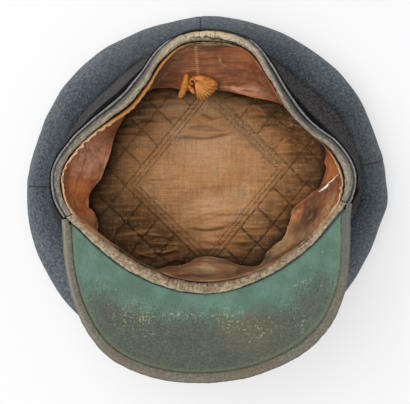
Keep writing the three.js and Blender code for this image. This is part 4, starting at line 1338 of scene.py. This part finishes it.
marks = {
    # Painted shade in the pleats' hollows and along the fan's far edge, painted highlights on their
    # ridges.
    "hollow": np.maximum(ramp(-1.6 * crease - 0.25) * pleated, 0.7 * far_edge),
    "ridge": ramp(1.4 * crease - 0.3) * pleated,
}
fan = skin("bow_fan", face, 0.5, back_step=8, marks=marks)
fit(fan, RIBBON, "ribbon", "sweatband_bow")

step = np.linspace(0, 1, 60)
swell = np.clip(np.sin(np.pi * step), 0.02, 1) ** 0.22
rolled = on_bow(-8.6 - 0.9 * step - 4.2 * step**2, 8.9 - 15.6 * step, 4.0 + 0.3 * np.sin(9 * step))
ring_turn = np.radians(-40 + 320 * step)
ring_rise = np.sin(ring_turn)
ring = on_bow(-4.3 + 1.9 * np.cos(ring_turn), 3.4 + 2.1 * ring_rise, 3.0 + 0.8 * ring_rise)
tail = on_bow(-7.0 + 4.6 * step**1.4, 1.4 - 6.4 * step, 3.6 - 1.0 * step + 0.5 * np.sin(11 * step))
wound_paths = {"bow_rolled": (rolled, 2.2 + 0.5 * step), "bow_ring": (ring, 1.0), "bow_tail": (tail, 1.5)}
wound_parts = []
for name, (path, radius) in wound_paths.items():
    wound = radius * swell * (1 + 0.03 * np.sin(17 * step) + 0.02 * np.sin(41 * step))
    wound_parts.append(threads(name, path[None], wound, sides=14))
    fit(wound_parts[-1], RIBBON, "ribbon", "sweatband_bow")


# Peak board
# A stiff board covered on its outer face with the crown's wool. It is sewn to the band under the front
# strip and dips in a shallow curve to its edge.

# The peak's outline: angle, distance from the axis.
PEAK_EDGE = (
    (190, 104.8), (200, 108.6), (210, 115.0), (222, 123.8), (234, 132.2), (244, 135.4),
    (270, 133.4), (298, 131.4), (312, 128.2), (324, 120.6), (336, 111.4), (348, 104.8),
    (358, 103.8),
)
PEAK_LEFT = 193.0
PEAK_RIGHT = 353.0
PEAK_DROP = 3.4
PEAK_RISE = 17.0
PEAK_ROUNDNESS = 1.2
PEAK_HOLLOW = 0.45
PEAK_BOARD = 1.6
PEAK_INSET = 1.3


def peak_line(angle, across):
    """Distance from the axis and height of the board's outer face: a quadratic Bezier from the band, at 0
    across, to the edge, at 1. The edge rises as a power of a half sine from corner to corner."""
    near, near_height = beside_band(angle, 1 - PEAK_DROP / BAND_CUT, 2.2)
    far = around(PEAK_EDGE, angle) - PEAK_INSET
    corner = ramp(angle - PEAK_LEFT, PEAK_RIGHT - PEAK_LEFT)
    rise = PEAK_RISE * np.sin(np.pi * corner) ** PEAK_ROUNDNESS
    radius = bezier(across, near, (near + far) / 2, far)
    return radius, near_height + rise * bezier(across, 0.0, PEAK_HOLLOW, 1.0)


angle = np.linspace(PEAK_LEFT, PEAK_RIGHT, 220)
across = shares(28)
face = turned(angle, *peak_line(angle, across))
face = lifted(face, 0.25 * (waver(face, 45, 101) * np.sin(np.pi * across)))
board = skin("peak_board", face, PEAK_BOARD, back_step=6)
fit(board, WOOL, "wool", "peak")


# Peak lining
# Green leathercloth glued to the inside of the board. It is bright along the seam and the edges and
# rubbed to olive grey in the middle, with a fine weave, and flakes of its skin are gone.

PEAK_SKIN = 0.8
PEAK_SKIN_UP = 1.9
# How far the skin stays away from the board's edge, and how much shorter than the board it is.
SKIN_MARGIN = 0.3
SKIN_SHORT = 0.9
# The brown scuff: pixel x, pixel y and height, and its half length and half width.
SCUFF = (250.0, 332.0, 100.0)
SCUFF_SIZE = (30, 15)
# Places where the skin has flaked: pixel x, pixel y, length and width in mm, slant in degrees.
FLAKES = (
    (115, 290, 1.6, 0.5, 40), (124, 316, 1.4, 0.5, 20), (150, 308, 1.8, 0.4, 80),
    (143, 325, 1.5, 0.4, 10), (145, 337, 1.8, 0.5, 50), (153, 335, 1.2, 0.4, 0),
    (200, 317, 1.6, 0.5, 15), (213, 317, 2.4, 0.6, 5), (224, 313, 1.5, 0.4, 70),
    (233, 317, 1.6, 0.5, 30), (238, 323, 1.8, 0.6, 60), (323, 252, 1.8, 0.5, 75),
    (333, 251, 1.2, 0.4, 20), (322, 286, 1.6, 0.4, 35), (296, 286, 5.0, 0.35, 20),
    (304, 282, 5.0, 0.3, 24), (245, 331, 2.4, 0.5, 5), (256, 327, 1.8, 0.4, 60),
    (262, 337, 2.0, 0.5, 15), (250, 343, 1.8, 0.4, 40), (229, 326, 2.0, 0.5, 10),
    (219, 322, 1.2, 0.4, 0), (206, 324, 1.0, 0.4, 0), (170, 321, 1.0, 0.4, 30),
    (183, 313, 1.0, 0.3, 30), (163, 330, 1.0, 0.3, 60), (270, 318, 1.6, 0.4, 20),
    (281, 312, 1.2, 0.3, 50), (108, 305, 1.0, 0.3, 60), (96, 281, 1.0, 0.3, 20),
    (134, 300, 1.0, 0.3, 10), (312, 268, 1.2, 0.3, 30),
)
# Clusters of small pale flecks: pixel x, pixel y, half length, half width, slant in degrees.
FLECKS = (
    (138, 320, 24, 14, -12), (180, 314, 26, 4, 0), (232, 318, 14, 14, 0), (300, 284, 14, 4, 22),
    (262, 330, 18, 10, 10), (300, 320, 8, 12, 0),
)


def peak_depth(angle):
    """The straight distance from the band to the board's edge."""
    near, far = peak_line(angle, 0.0), peak_line(angle, 1.0)
    return np.hypot(far[0] - near[0], far[1] - near[1])


def peak_point(angle, inset, up):
    """A point so far in from the board's edge along its curve and so far up from its outer face."""
    across = 1 - inset / peak_depth(angle)
    radius, height = peak_line(angle, across)
    ahead, ahead_height = peak_line(angle, across + 0.01)
    slope = np.hypot(ahead - radius, ahead_height - height)
    out, rise = (ahead - radius) / slope, (ahead_height - height) / slope
    return turned(angle, radius - rise * up, height + out * up)


def green_look(field):
    """Green skin on cloth: weave lines both ways, a worn olive-grey field, brown scuffs, pale pits and
    painted shadow lines.
    """
    at = field.place()
    across = at.stretched(0.10, 1.0, 1.0).noise(1500, 2, 0.6)
    upright = at.stretched(1.0, 0.10, 1.0).noise(1500, 2, 0.6)
    cloud = at.noise(55, 5, 0.65) - 0.5
    thin = across + upright - 1.0
    worn = field.mark("worn")
    patch = (worn + (cloud * 0.9 + thin * 1.5) * (0.08 + worn * (1 - worn) * 3.2)).between(0.15, 0.85)
    scuff = (field.mark("scuff") + cloud * 1.5 + thin * 1.8).between(0.2, 1.2)
    nubs = at.noise(640, 3, 0.7)
    shreds = [at.stretched(*way).noise(720, 2, 0.55) for way in ((0.3, 1.0, 1.0), (1.0, 0.3, 1.0))]
    pits = field.math("MAXIMUM", *shreds).between(0.60, 0.68) * field.mark("flecks")
    tone = at.noise(70, 4).between(0.36, 0.64).mix((0.090, 0.182, 0.128), (0.121, 0.245, 0.180))
    tone = tone.coats(
        (patch, 0.92, (0.086, 0.090, 0.068)),
        (patch * nubs.between(0.50, 0.66), 0.55, (0.175, 0.178, 0.130)),
        (patch * (1 - nubs.between(0.34, 0.50)), 0.5, (0.044, 0.048, 0.036)),
        (across.between(0.48, 0.70), 0.35, (0.165, 0.205, 0.165)),
        (upright.between(0.48, 0.70), 0.35, (0.042, 0.062, 0.046)),
        (scuff, 0.45, (0.180, 0.138, 0.078)),
        (pits, 0.75, (0.400, 0.400, 0.275)),
        ("olive", 0.5, (0.190, 0.205, 0.125)),
        # painted shadow under the front strip and beside the binding
        ("painted_shadow_line", 0.75, (0.035, 0.050, 0.036)),
    )
    return surface(tone, 0.5 + patch * 0.15, 0.35, field.bump(across + upright, 0.00022, 0.55))


rows, columns = 76, 440
angle = np.linspace(PEAK_LEFT + 0.4, PEAK_RIGHT - 0.4, columns)
length = peak_depth(angle)
inset = np.linspace(1, 0, rows)[:, None] * (length - SKIN_SHORT) + SKIN_MARGIN
soft = waver(peak_point(angle, inset, 0.0), 38, 111) * np.sin(np.pi * shares(rows))
soft = 0.35 * np.clip(soft, -0.6, 2)
face = peak_point(angle, inset, PEAK_SKIN_UP + PEAK_SKIN + soft)
under = peak_point(angle, inset, PEAK_SKIN_UP + 0 * soft)
from_seam, from_edge = length - inset, inset
rubbed_from = 2.6 + 9.0 * ramp(np.abs(angle - 262) / 45) + 2.5 * waver(face, 34, 112)
scuff_x, scuff_y = seen_at(*SCUFF)
scuffed = np.hypot((face[..., 0] - scuff_x) / SCUFF_SIZE[0], (face[..., 1] - scuff_y) / SCUFF_SIZE[1])
beside = ramp(np.abs(angle - 270) - 18, 22)
spared = 1 - 0.42 * beside * bell(from_edge - 5, 12)
# Painted shadow on the skin under the front strip.
under_strip = bell(from_seam, 1.1) * np.clip((angle - 255) / 60, 0.4, 1)
marks = {
    "worn": ramp(from_seam - rubbed_from, 26) * spared,
    "flecks": spots_on(face, FLECKS),
    "scuff": ramp(1.4 - scuffed),
    "painted_shadow_line": under_strip + 0.5 * bell(from_edge - 5.1, 0.5),
    "olive": bell(from_edge - 6.6, 1.0),
}
green = skin("peak_leathercloth", face, 0, back_step=8, marks=marks, back=under)
fit(green, finish("peak_skin", green_look), "peak_skin", "peak_lining")

x, y, flake_length, flake_width, slant = np.array(FLAKES, float).T[..., None]
spot = np.linspace(-0.5, 0.5, 5)
# The height at which a flake lies depends on its place, so both are found in a few rounds from a guess.
height = 98.0
for _ in range(4):
    middle_x, middle_y = seen_at(x, y, height)
    at_x = middle_x + spot * flake_length * np.cos(np.radians(slant))
    at_y = middle_y + spot * flake_length * np.sin(np.radians(slant))
    at_angle = np.degrees(np.arctan2(at_y, at_x)) % 360
    near, far = peak_line(at_angle, 0.0), peak_line(at_angle, 1.0)
    at_across = (np.hypot(at_x, at_y) - near[0]) / (far[0] - near[0])
    height = peak_line(at_angle, at_across)[1] + 2.9
reach = peak_depth(at_angle)
at_inset = (1 - at_across) * reach
row = (at_inset - SKIN_MARGIN - (reach - SKIN_SHORT)) / (SKIN_SHORT - reach) * (rows - 1)
column = (at_angle - angle[0]) / (angle[-1] - angle[0]) * (columns - 1)
radius = flake_width * np.sqrt(1 - (1.9 * spot) ** 2)
paths = on_grid(face, row, column) - 0.6 * radius[..., None] * np.array([0.0, 0.0, 1.0])
flakes = threads("peak_flakes", paths, radius)
# Bare pale cloth.
bare_cloth = speckled("peak_flakes", (500, 2), (0.300, 0.330, 0.240), (0.560, 0.540, 0.410), 0.85)
fit(flakes, bare_cloth, "peak_skin", "peak_lining")


# Peak binding
# A strip of worn grey-brown leathercloth folded over the peak's edge and stitched through. Its weave
# shows, it has puckered on the curve, and its lower side is painted darker as painted shade.

PEAK_BINDING_WALL = 1.0
# The fold over the edge, from under the peak to the top: share of the leg, mm past the edge, up.
PEAK_ROLL = (
    (1.0, 0.0, -1.3), (0.55, 0.0, -1.5), (0.08, 0.0, -1.5), (0.0, 1.5, -0.9), (0.0, 2.0, 1.3),
    (0.0, 1.5, 3.4), (0.08, 0.0, 4.3), (0.55, 0.0, 4.5), (0.97, 0.0, 4.4), (1.0, 0.0, 3.7),
)
PEAK_LEG = 4.7


def peak_binding_look(field):
    """Grey-brown tweedy cloth with pale threads and brown soiling, a painted highlight along the top of
    its roll and painted shade on its lower side.
    """
    at = field.place()
    mottle = at.noise(520, 4, 0.7).between(0.40, 0.60)
    weave = at.noise(1100, 2, 0.6).between(0.44, 0.62)
    browned = at.noise(60, 3).between(0.4, 0.65)
    tone = mottle.mix((0.150, 0.142, 0.106), (0.256, 0.242, 0.188))
    tone = tone.coats(
        (browned, 0.5, (0.185, 0.140, 0.088)),
        (weave, 0.4, (0.330, 0.295, 0.235)),
        ("blued", 0.6, (0.150, 0.168, 0.178)),
        # painted highlight along the top of the roll
        ("pale", 0.6, (0.440, 0.415, 0.370)),
        ("rim", 0.7, (0.045, 0.040, 0.032)),
        # painted shade on the lower side
        ("under", 0.8, (0.050, 0.045, 0.038)),
    )
    return surface(tone, 0.85, 0.25, field.bump(mottle + weave * 0.8, 0.0004, 0.7))


angle = np.linspace(PEAK_LEFT - 2.2, PEAK_RIGHT + 2.6, 460)
held = np.clip(angle, PEAK_LEFT, PEAK_RIGHT)
leg, past, up = (column[:, None] for column in np.array(PEAK_ROLL).T)
past = past + 0.9 * bell(angle - 303, 11)
leg = leg * np.minimum(PEAK_LEG, 0.72 * peak_depth(held))
rows = 40
face = drawn_through(peak_point(angle, leg - past, up), rows)
across = shares(rows)
pucker = 0.10 * waver(face, 7, 121) + 0.06 * waver(face, 2.6, 122) + 0.10 * waver(face, 30, 123)
face = lifted(face, pucker * np.sin(np.pi * across))
marks = {
    # Painted highlight along the top of the roll, strongest at the left.
    "pale": bell(across - 0.60, 0.05) * np.clip((250 - angle) / 40, 0.25, 1),
    # Painted shade on the binding's lower side.
    "under": ramp(0.48 - across, 0.12) + 0 * angle,
    "blued": ramp(angle - 322, 12) * ramp(0.86 - across, 0.1),
    "rim": ramp(across - 0.90, 0.06) + 0 * angle,
}
peak_binding = skin("peak_edge_strip", face, PEAK_BINDING_WALL, back_step=3, marks=marks)
fit(peak_binding, finish("peak_strip", peak_binding_look), "peak_strip", "peak_binding")


# Chin strap
# A narrow brown leather strap, doubled, along the front of the band under the peak. It turns back on
# itself in a loop at the left, and its two ends stand apart at the right.

STRAP_LOW = 0.5
STRAP_HIGH = 0.795
STRAP_LAYER = 0.8
# Angles of the loop at the left and of the outer and the inner end at the right.
STRAP_LOOP = 186.0
STRAP_ENDS = (361.2, 363.6)


def strap_look(field):
    """Dark brown leather with cracked, lighter edges."""
    at = field.place()
    cracked = at.noise(500, 3, 0.6).between(0.45, 0.62)
    tone = at.noise(120, 3).mix((0.016, 0.010, 0.007), (0.040, 0.023, 0.014))
    tone = tone.coats(
        (cracked, 0.25, (0.110, 0.080, 0.058)),
        ("edge", 0.5, (0.060, 0.042, 0.030)),
    )
    return surface(tone, 0.8, 0.12, field.bump(cracked, 0.0002, 0.6))


outer = np.linspace(STRAP_ENDS[0], STRAP_LOOP, 200)
turn = np.linspace(0, np.pi, 22)[1:-1]
inner = np.linspace(STRAP_LOOP, STRAP_ENDS[1], 200)
angle = np.concatenate([outer, STRAP_LOOP - 1.6 * np.sin(turn), inner])
outer_off = 2.0 + 2.6 * ramp(outer - 351, 10) ** 1.5 + 2.2 * ramp(199 - outer, 13) ** 1.3
inner_off = 0.85 + 3.1 * ramp(inner - 352, 11) ** 1.5
middle, half = (outer_off[-1] + inner_off[0]) / 2, (outer_off[-1] - inner_off[0]) / 2
off = np.concatenate([outer_off, middle + half * np.cos(turn), inner_off])
share = np.linspace(STRAP_LOW, STRAP_HIGH, 12)[:, None]
face = turned(angle, *beside_band(angle, share, off))
marks = {"edge": ramp(share - STRAP_HIGH + 0.03, 0.02) + 0 * angle}
strap = skin("chin_strap_leather", face, STRAP_LAYER, back_step=4, marks=marks)
fit(strap, finish("strap_leather", strap_look), "strap_leather", "chin_strap")


# Floor, light and camera
# A pale studio table, a large soft light from the upper left and a bright room, and a camera that looks
# straight down on the cap.

FLOOR_REACH = 4000.0
FLOOR_HEIGHT = -0.4
ROOM_LIGHT = 0.45
PHOTO_WIDTH = 410.0
SENSOR = 36.0

side = np.linspace(-FLOOR_REACH, FLOOR_REACH, 3)
ground = np.stack(np.meshgrid(side, side) + [np.full((3, 3), FLOOR_HEIGHT)], -1)
floor = piece_of("table", ground.reshape(-1, 3), quads_of(np.arange(9).reshape(3, 3), 0))
# Smooth white card.
CARD_TONES = ((0.50, 0.50, 0.50), (0.52, 0.52, 0.52))
card = speckled("table_card", (3, 2), *CARD_TONES, 0.7, 0.2, glow=((1.0, 1.0, 1.0), 0.515))
floor.data.materials.append(card)

scene = bpy.context.scene
scene.view_settings.view_transform = "Standard"
world = bpy.data.worlds.new("room")
world.use_nodes = True
background = world.node_tree.nodes["Background"]
background.inputs["Color"].default_value = (1.0, 1.0, 1.0, 1)
background.inputs["Strength"].default_value = ROOM_LIGHT
scene.world = world

key = bpy.data.objects.new("key", bpy.data.lights.new("key", "AREA"))
key.data.shape = "DISK"
key.data.size = 2.2
key.data.energy = 26.0
key.location = (-0.62, 0.14, 1.9)
key.rotation_euler = (np.radians(-4.2), np.radians(-18.0), 0)
scene.collection.objects.link(key)

camera = bpy.data.objects.new("camera", bpy.data.cameras.new("camera"))
camera.location = np.array(CAMERA) * MM
camera.data.sensor_width = SENSOR
camera.data.lens = FOCUS / PHOTO_WIDTH * SENSOR
camera.data.clip_start = 0.05
scene.collection.objects.link(camera)
scene.camera = camera
